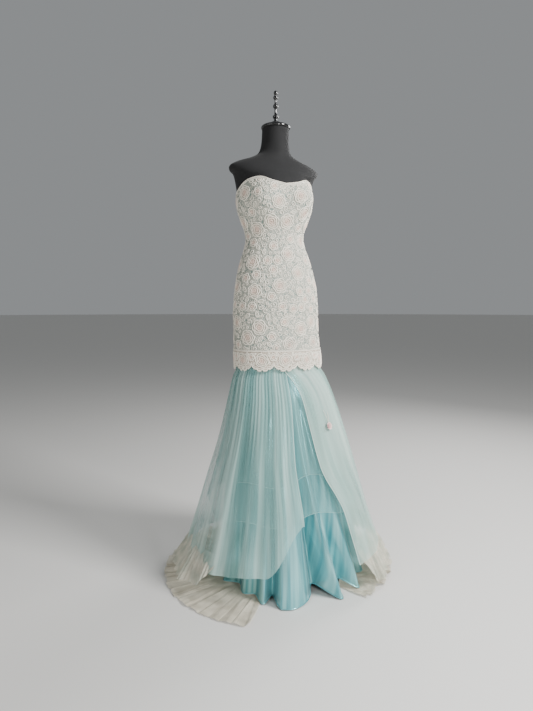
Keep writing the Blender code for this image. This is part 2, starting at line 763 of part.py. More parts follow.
def main():
    """Builds the gown from the form outwards."""
    for old in list(bpy.data.objects):
        bpy.data.objects.remove(old, do_unlink=True)

    lace = material("corded_lace", (0.78, 0.74, 0.66), 0.75)
    edging = material("lace_edging", (0.84, 0.79, 0.72), 0.75)
    zip_tape = material("zip_tape", (0.80, 0.77, 0.70), 0.6)
    zip_metal = material("zip_metal", (0.72, 0.70, 0.66), 0.3, 1.0)
    milky_tulle = material("milky_tulle", (0.60, 0.74, 0.70), 0.6)
    aqua_tulle = material("aqua_tulle", (0.38, 0.62, 0.62), 0.6)
    pale_tulle = material("pale_tulle", (0.46, 0.68, 0.68), 0.6)
    satin = material("aqua_satin", (0.30, 0.62, 0.66), 0.28)
    net = material("ivory_net", (0.66, 0.62, 0.52), 0.7)
    petal = material("petal", (0.88, 0.74, 0.74), 0.6)
    cover = material("form_cover", (0.02, 0.02, 0.02), 0.85)
    gloss = material("black_gloss", (0.015, 0.015, 0.015), 0.18)
    stand = material("stand_steel", (0.10, 0.10, 0.10), 0.35, 1.0)

    make_form(cover, gloss, stand)
    make_sheath(lace)
    make_zip(zip_tape, zip_metal)
    make_border(edging)
    make_satin(satin)
    make_net(net)
    make_under_tulle(pale_tulle)
    make_over_tulle(aqua_tulle)
    make_overlay(milky_tulle)
    make_flower(petal)


main()
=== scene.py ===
"""A strapless mermaid gown of corded lace, tulle and satin on a limbless dress form, in a plain studio.

Metres, +Z up. The front of the gown faces -Y, and angles run round the figure from the centre
front (0) towards +X (90) and the centre back (180). Heights are above the floor.
"""

import json
import logging
import math
from dataclasses import dataclass, field
from enum import Enum
from typing import Callable, NamedTuple, Sequence

import bpy
import numpy as np
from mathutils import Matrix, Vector

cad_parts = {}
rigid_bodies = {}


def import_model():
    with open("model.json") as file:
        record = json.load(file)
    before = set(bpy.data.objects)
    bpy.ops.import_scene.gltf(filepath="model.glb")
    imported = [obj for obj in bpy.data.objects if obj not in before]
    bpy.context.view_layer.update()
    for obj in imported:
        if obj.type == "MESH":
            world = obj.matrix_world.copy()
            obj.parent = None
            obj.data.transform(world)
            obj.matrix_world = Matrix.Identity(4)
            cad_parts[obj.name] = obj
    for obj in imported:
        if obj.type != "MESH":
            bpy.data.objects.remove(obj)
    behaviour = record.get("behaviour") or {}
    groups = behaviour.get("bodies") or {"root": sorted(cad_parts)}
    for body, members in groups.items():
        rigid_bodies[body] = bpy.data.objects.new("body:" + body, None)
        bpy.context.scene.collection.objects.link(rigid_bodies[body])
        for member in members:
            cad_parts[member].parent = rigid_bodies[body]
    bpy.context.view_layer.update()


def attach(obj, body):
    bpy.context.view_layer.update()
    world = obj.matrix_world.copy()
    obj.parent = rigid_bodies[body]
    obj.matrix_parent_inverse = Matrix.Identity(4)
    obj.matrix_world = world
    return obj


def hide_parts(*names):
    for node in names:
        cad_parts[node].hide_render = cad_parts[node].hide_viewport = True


LOG = logging.getLogger("gown")
GOWN = "gown"
ZIP_TAB = "zip_tab"


class Side(Enum):
    """Which half of the gown a piece is on."""

    FRONT = "front"
    BACK = "back"


class BodyRow(NamedTuple):
    """An elliptical section of the figure."""

    height: float
    half_width: float
    half_depth: float
    centre_y: float


class SkirtRow(NamedTuple):
    """A section of the skirt's outermost tulle, with its own reach to each side."""

    height: float
    left: float
    right: float
    depth: float
    centre_y: float


class Fullness(NamedTuple):
    """How far the tulle falls in from the outermost shape at a height."""

    height: float
    setback: float
    gather: float
    sway: float
    under: float


class Fold(NamedTuple):
    """A fold of the satin: how far its hem falls in, and how far it lifts off the floor."""

    angle: float
    ebb: float
    lift: float


class Turning(NamedTuple):
    """A point on the outline of a turned piece."""

    height: float
    radius: float


class Place(NamedTuple):
    """A value at an angle round the figure, or an angle at a height."""

    angle: float
    value: float


class Panel(NamedTuple):
    """A panel of the sheath between two angles, with its flat size."""

    piece: str
    node: str
    start: float
    stop: float
    flat: tuple[float, float]


class Ring(NamedTuple):
    """A ring of petals in a rose, as a share of its radius."""

    share: float
    petals: int
    notch: float


class Lamp(NamedTuple):
    """A soft light, placed as the camera sees it."""

    name: str
    side: float
    near: float
    up: float
    size: float
    power: float


BODY = (
    BodyRow(0.745, 0.1612, 0.1212, -0.022),
    BodyRow(0.770, 0.1610, 0.1210, -0.020),
    BodyRow(0.810, 0.1600, 0.1205, -0.012),
    BodyRow(0.870, 0.1578, 0.1200, -0.004),
    BodyRow(0.940, 0.1572, 0.1200, 0.000),
    BodyRow(1.010, 0.1526, 0.1160, 0.000),
    BodyRow(1.080, 0.1402, 0.1070, 0.004),
    BodyRow(1.140, 0.1229, 0.0960, 0.008),
    BodyRow(1.170, 0.1118, 0.0900, 0.011),
    BodyRow(1.200, 0.1053, 0.0880, 0.014),
    BodyRow(1.230, 0.1088, 0.0910, 0.016),
    BodyRow(1.260, 0.1208, 0.0990, 0.016),
    BodyRow(1.310, 0.1368, 0.1070, 0.015),
    BodyRow(1.340, 0.1401, 0.1080, 0.014),
    BodyRow(1.370, 0.1383, 0.1040, 0.012),
    BodyRow(1.402, 0.1330, 0.0980, 0.012),
)
NECKLINE = (
    Place(0.0, 1.380),
    Place(18.0, 1.388),
    Place(40.0, 1.402),
    Place(60.0, 1.396),
    Place(90.0, 1.366),
    Place(130.0, 1.345),
    Place(180.0, 1.337),
)
SHOULDERS = (
    BodyRow(1.418, 0.1500, 0.0930, 0.014),
    BodyRow(1.436, 0.1660, 0.0810, 0.016),
    BodyRow(1.452, 0.1640, 0.0700, 0.017),
    BodyRow(1.468, 0.1360, 0.0610, 0.018),
    BodyRow(1.482, 0.0950, 0.0560, 0.018),
    BodyRow(1.500, 0.0620, 0.0510, 0.016),
    BodyRow(1.530, 0.0500, 0.0475, 0.010),
    BodyRow(1.586, 0.0475, 0.0465, 0.004),
)
SKIRT = (
    SkirtRow(0.000, 0.3850, 0.4080, 0.3620, -0.030),
    SkirtRow(0.080, 0.3597, 0.3856, 0.3420, -0.030),
    SkirtRow(0.221, 0.3134, 0.3370, 0.2980, -0.030),
    SkirtRow(0.361, 0.2700, 0.2959, 0.2550, -0.030),
    SkirtRow(0.498, 0.2265, 0.2558, 0.2120, -0.028),
    SkirtRow(0.634, 0.1921, 0.2099, 0.1700, -0.026),
    SkirtRow(0.700, 0.1762, 0.1838, 0.1400, -0.024),
    SkirtRow(0.722, 0.1692, 0.1730, 0.1290, -0.023),
    SkirtRow(0.745, 0.1584, 0.1584, 0.1184, -0.022),
    SkirtRow(0.785, 0.1579, 0.1579, 0.1180, -0.017),
)
FULLNESS = (
    Fullness(0.00, 0.0026, 0.0170, 0.0160, 0.0040),
    Fullness(0.10, 0.0026, 0.0160, 0.0140, 0.0040),
    Fullness(0.30, 0.0026, 0.0130, 0.0100, 0.0040),
    Fullness(0.47, 0.0026, 0.0110, 0.0070, 0.0030),
    Fullness(0.61, 0.0026, 0.0090, 0.0040, 0.0020),
    Fullness(0.70, 0.0024, 0.0060, 0.0020, 0.0015),
    Fullness(0.745, 0.0018, 0.0030, 0.0005, 0.0010),
    Fullness(0.785, 0.0018, 0.0010, 0.0000, 0.0001),
)
SATIN_FOLDS = (
    Fold(-180.0, 0.080, 0.000),
    Fold(-165.0, 0.060, 0.000),
    Fold(-150.0, 0.105, 0.004),
    Fold(-138.0, 0.085, 0.000),
    Fold(-122.0, 0.135, 0.006),
    Fold(-106.0, 0.112, 0.000),
    Fold(-92.0, 0.142, 0.002),
    Fold(-78.0, 0.108, 0.000),
    Fold(-64.0, 0.132, 0.004),
    Fold(-50.0, 0.092, 0.000),
    Fold(-40.0, 0.086, 0.006),
    Fold(-31.0, 0.046, 0.000),
    Fold(-26.0, 0.088, 0.008),
    Fold(-19.0, 0.012, 0.000),
    Fold(-8.0, 0.020, 0.000),
    Fold(1.0, 0.058, 0.006),
    Fold(8.5, 0.100, 0.022),
    Fold(17.0, 0.000, 0.000),
    Fold(25.0, 0.070, 0.030),
    Fold(32.0, 0.004, 0.002),
    Fold(42.0, 0.074, 0.008),
    Fold(55.0, 0.035, 0.000),
    Fold(68.0, 0.085, 0.006),
    Fold(82.0, 0.050, 0.000),
    Fold(97.0, 0.088, 0.004),
    Fold(112.0, 0.052, 0.000),
    Fold(128.0, 0.085, 0.004),
    Fold(143.0, 0.048, 0.000),
    Fold(160.0, 0.072, 0.000),
    Fold(180.0, 0.080, 0.000),
)
NET_EDGE = (
    Place(20.0, 0.395),
    Place(45.0, 0.418),
    Place(75.0, 0.440),
    Place(105.0, 0.432),
    Place(140.0, 0.405),
    Place(180.0, 0.392),
    Place(220.0, 0.398),
    Place(255.0, 0.418),
    Place(290.0, 0.424),
    Place(322.0, 0.428),
    Place(330.0, 0.400),
)
FINIAL = (
    Turning(0.000, 0.0160),
    Turning(0.006, 0.0150),
    Turning(0.009, 0.0070),
    Turning(0.016, 0.0062),
    Turning(0.021, 0.0098),
    Turning(0.027, 0.0098),
    Turning(0.032, 0.0050),
    Turning(0.050, 0.0042),
    Turning(0.056, 0.0086),
    Turning(0.063, 0.0086),
    Turning(0.069, 0.0044),
    Turning(0.080, 0.0040),
    Turning(0.086, 0.0080),
    Turning(0.092, 0.0080),
    Turning(0.097, 0.0042),
    Turning(0.102, 0.0068),
    Turning(0.109, 0.0060),
    Turning(0.114, 0.0002),
)
CAP = (
    Turning(0.0, 0.001),
    Turning(0.0, 0.046),
    Turning(0.001, 0.0500),
    Turning(0.003, 0.0515),
    Turning(0.0055, 0.0513),
    Turning(0.008, 0.0500),
    Turning(0.0115, 0.0440),
    Turning(0.0145, 0.0330),
    Turning(0.0168, 0.0180),
    Turning(0.0177, 0.0005),
)
POLE = (
    Turning(0.0123, 0.0125),
    Turning(0.40, 0.0125),
    Turning(0.7947, 0.0125),
)
POLE_COLLAR = (
    Turning(0.40, 0.0127),
    Turning(0.402, 0.0165),
    Turning(0.428, 0.0165),
    Turning(0.430, 0.0127),
)
BASE = (
    Turning(0.0, 0.001),
    Turning(0.0, 0.1335),
    Turning(0.0015, 0.1350),
    Turning(0.009, 0.1350),
    Turning(0.0112, 0.1338),
    Turning(0.0120, 0.1310),
    Turning(0.0120, 0.0260),
    Turning(0.0121, 0.001),
)
PANELS = (
    Panel("lace_ground_front", "sheath_front", -82.5, 82.5, (0.42, 0.62)),
    Panel("lace_ground_back_right", "sheath_back_right", 82.5, 180.0, (0.24, 0.59)),
    Panel("lace_ground_back_left", "sheath_back_left", 180.0, 277.5, (0.24, 0.59)),
)
LARGE_ROSE = (Ring(1.0, 6, 0.15), Ring(0.74, 5, 0.17), Ring(0.48, 4, 0.18))
SMALL_ROSE = (Ring(1.0, 5, 0.20), Ring(0.58, 3, 0.18))
LAMPS = (
    Lamp("key", 2.1, 1.1, 2.5, 0.8, 150.0),
    Lamp("fill", -2.2, 2.0, 1.6, 2.0, 22.0),
    Lamp("rim", 1.6, -1.8, 2.2, 1.0, 45.0),
    Lamp("sheen", 0.9, 1.7, 0.75, 0.35, 16.0),
)
OVERLAY_EDGE = (
    Place(0.105, 27.0),
    Place(0.265, 25.0),
    Place(0.430, 12.0),
    Place(0.560, 8.5),
    Place(0.660, 5.6),
    Place(0.700, 1.0),
    Place(0.722, -3.0),
    Place(0.742, -8.0),
    Place(0.758, -6.0),
    Place(0.785, 7.5),
)
GATHER_EDGE = (
    Place(0.105, -5.0),
    Place(0.270, -5.0),
    Place(0.460, -8.0),
    Place(0.660, -6.5),
    Place(0.785, -8.0),
)
NET_RUFFLES = (
    Place(20.0, 0.034),
    Place(115.0, 0.030),
    Place(180.0, 0.028),
    Place(245.0, 0.026),
    Place(280.0, 0.012),
    Place(330.0, 0.009),
)


def cubic(
    t: np.ndarray | float,
    ends: tuple[np.ndarray, np.ndarray],
    slopes: tuple[np.ndarray, np.ndarray],
) -> np.ndarray:
    """Reads a cubic curve between two ends.

    Args:
        t: Where it is read, from 0 at the first end to 1 at the second.
        ends: The values at the ends.
        slopes: The slopes at the ends, for a whole run of t.

    Returns:
        The values there.
    """
    start = (1 + 2 * t) * (1 - t) ** 2 * ends[0] + t * (1 - t) ** 2 * slopes[0]
    return start + t**2 * (3 - 2 * t) * ends[1] + t**2 * (t - 1) * slopes[1]


def along(rows: Sequence[NamedTuple], column: str, places: np.ndarray) -> np.ndarray:
    """Reads a table's column on a smooth curve with no overshoot.

    Args:
        rows: The table, in the order of its first column.
        column: The field that is read.
        places: Where it is read, as values of the first column.

    Returns:
        The column's value at each place.
    """
    knots = np.array([row[0] for row in rows])
    values = np.array([getattr(row, column) for row in rows])
    rises = np.diff(values) / np.diff(knots)
    slopes = np.zeros(len(rows))
    slopes[0], slopes[-1] = rises[0], rises[-1]
    same_way = rises[:-1] * rises[1:] > 0
    both = np.where(same_way, rises[:-1] + rises[1:], 1.0)
    slopes[1:-1] = np.where(same_way, 2 * rises[:-1] * rises[1:] / both, 0.0)
    places = np.clip(np.asarray(places, float), knots[0], knots[-1])
    below = np.clip(np.searchsorted(knots, places) - 1, 0, len(rows) - 2)
    span = knots[below + 1] - knots[below]
    t = (places - knots[below]) / span
    ends = (values[below], values[below + 1])
    return cubic(t, ends, (span * slopes[below], span * slopes[below + 1]))


def wrapped(angles: np.ndarray) -> np.ndarray:
    """Brings angles to -180 to 180 degrees."""
    return (np.asarray(angles, float) + 180.0) % 360.0 - 180.0


def hump(places: np.ndarray, centre: float, width: float) -> np.ndarray:
    """A smooth bell of height 1 round a centre."""
    return np.exp(-(((places - centre) / width) ** 2))


def linear(colour: str) -> tuple[float, float, float]:
    """Turns a colour written as #rrggbb into linear light.

    Args:
        colour: The colour as it looks on a screen.

    Returns:
        Its red, green and blue.
    """
    parts = [int(colour[start : start + 2], 16) / 255 for start in (1, 3, 5)]
    return tuple(p / 12.92 if p <= 0.04045 else ((p + 0.055) / 1.055) ** 2.4 for p in parts)


@dataclass(frozen=True)
class Figure:
    """The shape that the gown is fitted to."""

    cup_height: float = 1.335
    cup_rise: float = 0.020
    cup_spread: float = 0.050
    cup_angle: float = 33.0
    cup_width: float = 20.0
    layer_gap: float = 0.002

    def body(self, angles: np.ndarray, heights: np.ndarray, inset: float = 0.0) -> np.ndarray:
        """Points on the gown's outer face from hip to neckline.

        Args:
            angles: Angle of each point.
            heights: Height of each point.
            inset: How far the points move in.

        Returns:
            The points, in the shape of the angles.
        """
        angles, heights = np.broadcast_arrays(np.asarray(angles, float), heights)
        cup = self.cup_rise * hump(heights, self.cup_height, self.cup_spread)
        cup = cup * hump(np.abs(wrapped(angles)), self.cup_angle, self.cup_width)
        width = along(BODY, "half_width", heights) + cup - inset
        depth = along(BODY, "half_depth", heights) + cup - inset
        centre = along(BODY, "centre_y", heights)
        turn = np.radians(angles)
        return np.stack([width * np.sin(turn), centre - depth * np.cos(turn), heights], axis=-1)

    def neckline(self, angles: np.ndarray) -> np.ndarray:
        """Height of the gown's top edge, the same on both sides."""
        return along(NECKLINE, "value", np.abs(wrapped(angles)))

    def skirt(self, angles: np.ndarray, heights: np.ndarray, inset: np.ndarray) -> np.ndarray:
        """Points on the skirt's outermost shape.

        Args:
            angles: Angle of each point.
            heights: Height of each point.
            inset: How far each point moves in.

        Returns:
            The points, in the shape of the angles.
        """
        angles, heights, inset = np.broadcast_arrays(np.asarray(angles, float), heights, inset)
        turn = np.radians(angles)
        side = np.where(
            np.sin(turn) < 0, along(SKIRT, "left", heights), along(SKIRT, "right", heights)
        )
        depth = along(SKIRT, "depth", heights) - inset
        centre = along(SKIRT, "centre_y", heights)
        across = (side - inset) * np.sin(turn)
        return np.stack([across, centre - depth * np.cos(turn), heights], axis=-1)

    def over_depth(self, heights: np.ndarray) -> np.ndarray:
        """How far in the gathered tulle comes at its deepest."""
        parts = ("setback", "gather", "sway")
        return sum(along(FULLNESS, part, heights) for part in parts) + self.layer_gap

    def metres_per_degree(self, angle: float, height: float) -> float:
        """How far the gown's outer face runs for each degree at a place."""
        ends = self.body(np.array([angle - 0.5, angle + 0.5]), np.full(2, height))
        return float(np.linalg.norm(ends[1] - ends[0]))


FIGURE = Figure()


class Ink:
    """A shader socket that takes part in arithmetic."""

    def __init__(self, painter: "Painter", socket: bpy.types.NodeSocket) -> None:
        """Wraps one output socket."""
        self.painter = painter
        self.socket = socket

    def _with(self, operation: str, first: object, second: object) -> "Ink":
        """Joins two values by one operation of a Math node."""
        return self.painter.node("ShaderNodeMath", {0: first, 1: second}, operation=operation)

    def __add__(self, other: object) -> "Ink":
        """Sum."""
        return self._with("ADD", self, other)

    __radd__ = __add__

    def __sub__(self, other: object) -> "Ink":
        """Difference."""
        return self._with("SUBTRACT", self, other)

    def __rsub__(self, other: object) -> "Ink":
        """Difference, with this value taken away."""
        return self._with("SUBTRACT", other, self)

    def __mul__(self, other: object) -> "Ink":
        """Product."""
        return self._with("MULTIPLY", self, other)

    __rmul__ = __mul__

    def sine(self) -> "Ink":
        """Sine of this value in radians."""
        return self._with("SINE", self, 0.0)

    def highest(self, other: object) -> "Ink":
        """The larger of two values."""
        return self._with("MAXIMUM", self, other)

    def eased(self, low: float, high: float) -> "Ink":
        """A smooth step.

        Args:
            low: Where it is 0.
            high: Where it is 1.

        Returns:
            The stepped value.
        """
        return self.painter.node(
            "ShaderNodeMapRange",
            {0: self, 1: low, 2: high, 3: 0.0, 4: 1.0},
            interpolation_type="SMOOTHSTEP",
            clamp=True,
        )


class Painter:
    """Builds one material with a Principled shader."""

    def __init__(self, name: str) -> None:
        """Starts an empty material.

        Args:
            name: The material's name.
        """
        self.material = bpy.data.materials.new(name)
        self.material.use_nodes = True
        self.tree = self.material.node_tree
        self.shader = self.tree.nodes["Principled BSDF"]

    def node(self, kind: str, inputs: dict, output: object = 0, **settings: object) -> Ink:
        """Adds a node.

        Args:
            kind: The node's type.
            inputs: Its input sockets by name or number, each an Ink or a constant.
            output: The output that is used.
            **settings: Its properties.

        Returns:
            That output.
        """
        made = self.tree.nodes.new(kind)
        for name, value in settings.items():
            setattr(made, name, value)
        for key, value in inputs.items():
            if isinstance(value, Ink):
                self.tree.links.new(value.socket, made.inputs[key])
            else:
                made.inputs[key].default_value = value
        return Ink(self, made.outputs[output])

    def place(self) -> tuple[Ink, Ink]:
        """Metres across and along the cloth, from the mesh's own map."""
        across = self.node("ShaderNodeTexCoord", {}, "UV")
        return tuple(self.node("ShaderNodeSeparateXYZ", {0: across}, axis) for axis in ("X", "Y"))

    def noise(self, across: object, up: object, deep: object, detail: float = 2.0) -> Ink:
        """Soft noise over a place that is already scaled.

        Args:
            across: First coordinate.
            up: Second coordinate.
            deep: Third coordinate.
            detail: How many finer layers it has.

        Returns:
            The noise, near 0.5.
        """
        at = self.node("ShaderNodeCombineXYZ", {0: across, 1: up, 2: deep})
        return self.node("ShaderNodeTexNoise", {"Vector": at, "Scale": 1.0, "Detail": detail}, 0)

    def tint(self, name: str) -> Ink:
        """A value stored at the mesh's points."""
        return self.node("ShaderNodeAttribute", {}, "Fac", attribute_name=name)

    def blend(self, share: Ink, first: object, second: object) -> Ink:
        """A colour between two colours.

        Args:
            share: 0 for the first, 1 for the second.
            first: The first colour, written or made.
            second: The second colour, written or made.

        Returns:
            The mixed colour.
        """
        ends = [(*linear(end), 1.0) if isinstance(end, str) else end for end in (first, second)]
        return self.node("ShaderNodeMix", {0: share, 6: ends[0], 7: ends[1]}, 2, data_type="RGBA")

    def feed(self, **values: object) -> None:
        """Sets the shader's inputs, with underscores for spaces in their names."""
        for name, value in values.items():
            socket = self.shader.inputs[name.replace("_", " ")]
            if isinstance(value, Ink):
                self.tree.links.new(value.socket, socket)
            else:
                socket.default_value = (*linear(value), 1.0) if isinstance(value, str) else value

    def bump(self, height: Ink, depth: float, strength: float = 1.0) -> None:
        """Raises the surface by a height from 0 to 1 times a depth in metres."""
        inputs = {"Height": height, "Distance": depth, "Strength": strength}
        self.feed(Normal=self.node("ShaderNodeBump", inputs, "Normal"))


@dataclass(frozen=True)
class Thread:
    """Finish of raised cords and their stitched grounds, tinted between two colours."""

    name: str
    pale: str
    blush: str
    roughness: float = 0.72
    twist: float = 900.0
    cloud: float = 60.0
    relief: float = 0.0002

    def material(self) -> bpy.types.Material:
        """Paints the thread with its tint, a soft unevenness and its twist.

        Returns:
            The material.
        """
        paint = Painter(self.name)
        across, up = paint.place()
        cloud = paint.noise(across * self.cloud, up * self.cloud, 0.0)
        share = (paint.tint("tint") + (cloud - 0.5) * 0.5).eased(0.0, 1.0)
        grain = ((across + up * 0.6) * self.twist).sine() * 0.5 + 0.5
        paint.feed(
            Base_Color=paint.blend(share, self.pale, self.blush),
            Roughness=self.roughness,
            Sheen_Weight=0.15,
        )
        paint.bump(grain, self.relief, 0.6)
        return paint.material


@dataclass(frozen=True)
class Lining:
    """Finish of the lace's ground: fine stitched cords that wind close together over net."""

    name: str
    gap: str
    cord: str
    winding: float = 52.0
    lines: float = 9.0
    cloud: float = 30.0
    meshes: float = 2600.0
    relief: float = 0.0012

    def material(self) -> bpy.types.Material:
        """Paints winding cords as the level lines of a soft noise, with net between them.

        Returns:
            The material.
        """
        paint = Painter(self.name)
        across, up = paint.place()
        drift = paint.noise(across * self.winding, up * self.winding, 0.0, 0.5)
        waves = (drift * (2 * math.pi * self.lines)).sine()
        cords = waves.eased(-0.55, 0.35)
        cloud = paint.noise(across * self.cloud, up * self.cloud, 5.0).eased(0.35, 0.65)
        net = (across * self.meshes).sine().highest((up * self.meshes).sine()).eased(0.6, 1.0)
        ground = paint.blend(net * 0.35 + cloud * 0.2, self.gap, self.cord)
        paint.feed(Base_Color=paint.blend(cords, ground, self.cord), Roughness=0.8)
        paint.bump(waves.eased(-0.7, 1.0), self.relief, 0.8)
        return paint.material


@dataclass(frozen=True)
class Sheer:
    """Finish of tulle: see-through, with denser paler streaks running down it."""

    name: str
    deep: str
    pale: str
    cover: float
    streaks: float
    spread: float
    roughness: float = 0.7

    def material(self) -> bpy.types.Material:
        """Paints long streaks in colour and in cover.

        Returns:
            The material.
        """
        paint = Painter(self.name)
        across, up = paint.place()
        broad = paint.noise(across * self.streaks * 0.3, up * 1.2, 3.0)
        fine = paint.noise(across * self.streaks * 1.4, up * 2.2, 0.0, 3.0)
        streak = (broad * 0.7 + fine * 0.3).eased(0.34, 0.68)
        cover = streak * self.spread + (self.cover - self.spread / 2)
        paint.feed(
            Base_Color=paint.blend(streak, self.deep, self.pale),
            Roughness=self.roughness,
            Alpha=cover,
            Sheen_Weight=0.25,
        )
        return paint.material


@dataclass(frozen=True)
class Lustre:
    """Finish of satin: a smooth bright face with faint warp streaks."""

    name: str
    deep: str
    pale: str
    roughness: float = 0.24
    metallic: float = 0.60
    streaks: float = 60.0
    slubs: float = 900.0
    relief: float = 0.0001

    def material(self) -> bpy.types.Material:
        """Paints faint streaks in colour, roughness and relief.

        Returns:
            The material.
        """
        paint = Painter(self.name)
        across, up = paint.place()
        streak = paint.noise(across * self.streaks, up * 2.0, 0.0)
        slub = paint.noise(across * self.slubs, up * (self.slubs / 30.0), 1.0)
        paint.feed(
            Base_Color=paint.blend(streak.eased(0.3, 0.7), self.deep, self.pale),
            Roughness=streak * 0.16 + (self.roughness - 0.08),
            Metallic=self.metallic,
            Sheen_Weight=0.15,
            Specular_IOR_Level=0.7,
        )
        paint.bump(slub, self.relief, 0.3)
        return paint.material


@dataclass(frozen=True)
class Netting:
    """Finish of coarse net: hexagonal meshes that are open between their threads."""

    name: str
    thread: str
    shade: str
    cover: float
    pitch: float = 0.0036
    cloud: float = 25.0

    def material(self) -> bpy.types.Material:
        """Paints the meshes as cover, with uneven colour.

        Returns:
            The material.
        """
        paint = Painter(self.name)
        across, up = paint.place()
        turn = 2 * math.pi / self.pitch
        waves = [
            (across * (turn * math.cos(way)) + up * (turn * math.sin(way))).sine()
            for way in (0.0, math.pi / 3, 2 * math.pi / 3)
        ]
        lines = waves[0].highest(waves[1]).highest(waves[2]).eased(0.45, 0.9)
        cloud = paint.noise(across * self.cloud, up * self.cloud, 0.0).eased(0.3, 0.7)
        paint.feed(
            Base_Color=paint.blend(cloud, self.shade, self.thread),
            Roughness=0.8,
            Alpha=lines * (1.0 - self.cover) + self.cover,
        )
        return paint.material


@dataclass(frozen=True)
class Solid:
    """Finish of a plain piece: cover of the form, gloss, metal, stamen beads, zip tape or floor."""

    name: str
    colour: str
    roughness: float
    metallic: float = 0.0
    coat: float = 0.0
    nap: float = 0.0
    relief: float = 0.0
    cloud: float = 35.0
    grain: float = 900.0

    def material(self) -> bpy.types.Material:
        """Paints the colour with a faint unevenness and, on cloth, a nap.

        Returns:
            The material.
        """
        paint = Painter(self.name)
        at = paint.node("ShaderNodeTexCoord", {}, "Object")
        soft = {"Vector": at, "Scale": self.cloud, "Detail": 3.0}
        cloud = paint.node("ShaderNodeTexNoise", soft, 0)
        paint.feed(
            Base_Color=self.colour,
            Roughness=cloud * 0.12 + (self.roughness - 0.06),
            Metallic=self.metallic,
            Coat_Weight=self.coat,
            Sheen_Weight=self.nap,
        )
        if self.relief:
            fine = {"Vector": at, "Scale": self.grain, "Detail": 1.0}
            paint.bump(paint.node("ShaderNodeTexNoise", fine, 0), self.relief)
        return paint.material


class Shape:
    """A mesh in the making: points, quads, a map in metres and a tint at each point."""

    def __init__(self) -> None:
        """Starts with nothing in it."""
        self.points: list[np.ndarray] = []
        self.maps: list[np.ndarray] = []
        self.tints: list[np.ndarray] = []
        self.faces: list[np.ndarray] = []
        self.count = 0

    def grid(
        self,
        points: np.ndarray,
        closed: bool = False,
        tint: np.ndarray | float = 0.0,
        place: np.ndarray | None = None,
    ) -> "Shape":
        """Adds a grid of rows by columns, with its faces towards columns x rows.

        Args:
            points: Rows by columns of points.
            closed: Whether the last column meets the first.
            tint: Value at each point.
            place: Map of each point, or none for metres along the rows and columns.

        Returns:
            This shape.
        """
        if closed:
            points = np.concatenate([points, points[:, :1]], axis=1)
            if np.ndim(tint) == 2:
                tint = np.concatenate([tint, tint[:, :1]], axis=1)
        rows, columns = points.shape[:2]
        if place is None:
            across = np.linalg.norm(np.diff(points, axis=1), axis=2).mean(axis=0)
            up = np.linalg.norm(np.diff(points, axis=0), axis=2).mean(axis=1)
            u = np.concatenate([[0.0], across.cumsum()])
            v = np.concatenate([[0.0], up.cumsum()])
            place = np.stack(np.broadcast_arrays(u[None, :], v[:, None]), axis=-1)
        low = (np.arange(rows - 1)[:, None] * columns + np.arange(columns - 1)).ravel()
        quads = np.stack([low, low + 1, low + columns + 1, low + columns], axis=-1)
        self.points.append(points.reshape(-1, 3))
        self.maps.append(place.reshape(-1, 2))
        self.tints.append(np.broadcast_to(tint, (rows, columns)).ravel())
        self.faces.append(quads + self.count)
        self.count += rows * columns
        return self

    def build(
        self, name: str, finish: object, body: str = GOWN, join: float = 1e-6
    ) -> bpy.types.Object:
        """Makes the object, smooth and riding on a body.

        Args:
            name: The piece's name.
            finish: What it is painted with.
            body: The body that it rides on.
            join: Points closer than this become one.

        Returns:
            The object.
        """
        points = np.concatenate(self.points).astype(np.float32)
        faces = np.concatenate(self.faces).astype(np.int32)
        mesh = bpy.data.meshes.new(name)
        mesh.vertices.add(len(points))
        mesh.vertices.foreach_set("co", points.ravel())
        mesh.loops.add(faces.size)
        mesh.loops.foreach_set("vertex_index", faces.ravel())
        mesh.polygons.add(len(faces))
        mesh.polygons.foreach_set("loop_start", np.arange(0, faces.size, 4, dtype=np.int32))
        mesh.update(calc_edges=True)
        flat = np.concatenate(self.maps).astype(np.float32)[faces.ravel()]
        mesh.uv_layers.new(name="metres").data.foreach_set("uv", flat.ravel())
        tint = mesh.attributes.new("tint", "FLOAT", "POINT")
        tint.data.foreach_set("value", np.concatenate(self.tints).astype(np.float32))
        mesh.validate()
        mesh.shade_smooth()
        made = bpy.data.objects.new(name, mesh)
        bpy.context.scene.collection.objects.link(made)
        weld(made, join)
        made.data.materials.append(finish.material())
        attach(made, body)
        area = sum(face.area for face in made.data.polygons)
        LOG.info("%s: %d faces, %.3f square metres", name, len(made.data.polygons), area)
        return made


def weld(made: bpy.types.Object, distance: float) -> None:
    """Joins points that are close together, through a modifier that is then applied.

    Args:
        made: The object.
        distance: Points closer than this become one.
    """
    joiner = made.modifiers.new("join", "WELD")
    joiner.merge_threshold = distance
    graph = bpy.context.evaluated_depsgraph_get()
    joined = bpy.data.meshes.new_from_object(made.evaluated_get(graph))
    made.modifiers.clear()
    made.data = joined


def catmull(values: np.ndarray, steps: int) -> np.ndarray:
    """Smooths a run of rows, keeping each given row.

    Args:
        values: The rows.
        steps: How many rows stand for each given span.

    Returns:
        The finer run of rows.
    """
    before = np.concatenate([[2 * values[0] - values[1]], values[:-1]])
    after = np.concatenate([values[1:], [2 * values[-1] - values[-2]]])
    slopes = (after - before) / 2
    finer = []
    for row in range(len(values) - 1):
        ends = (values[row], values[row + 1])
        for t in np.arange(steps) / steps:
            finer.append(cubic(t, ends, (slopes[row], slopes[row + 1])))
    return np.array([*finer, values[-1]])


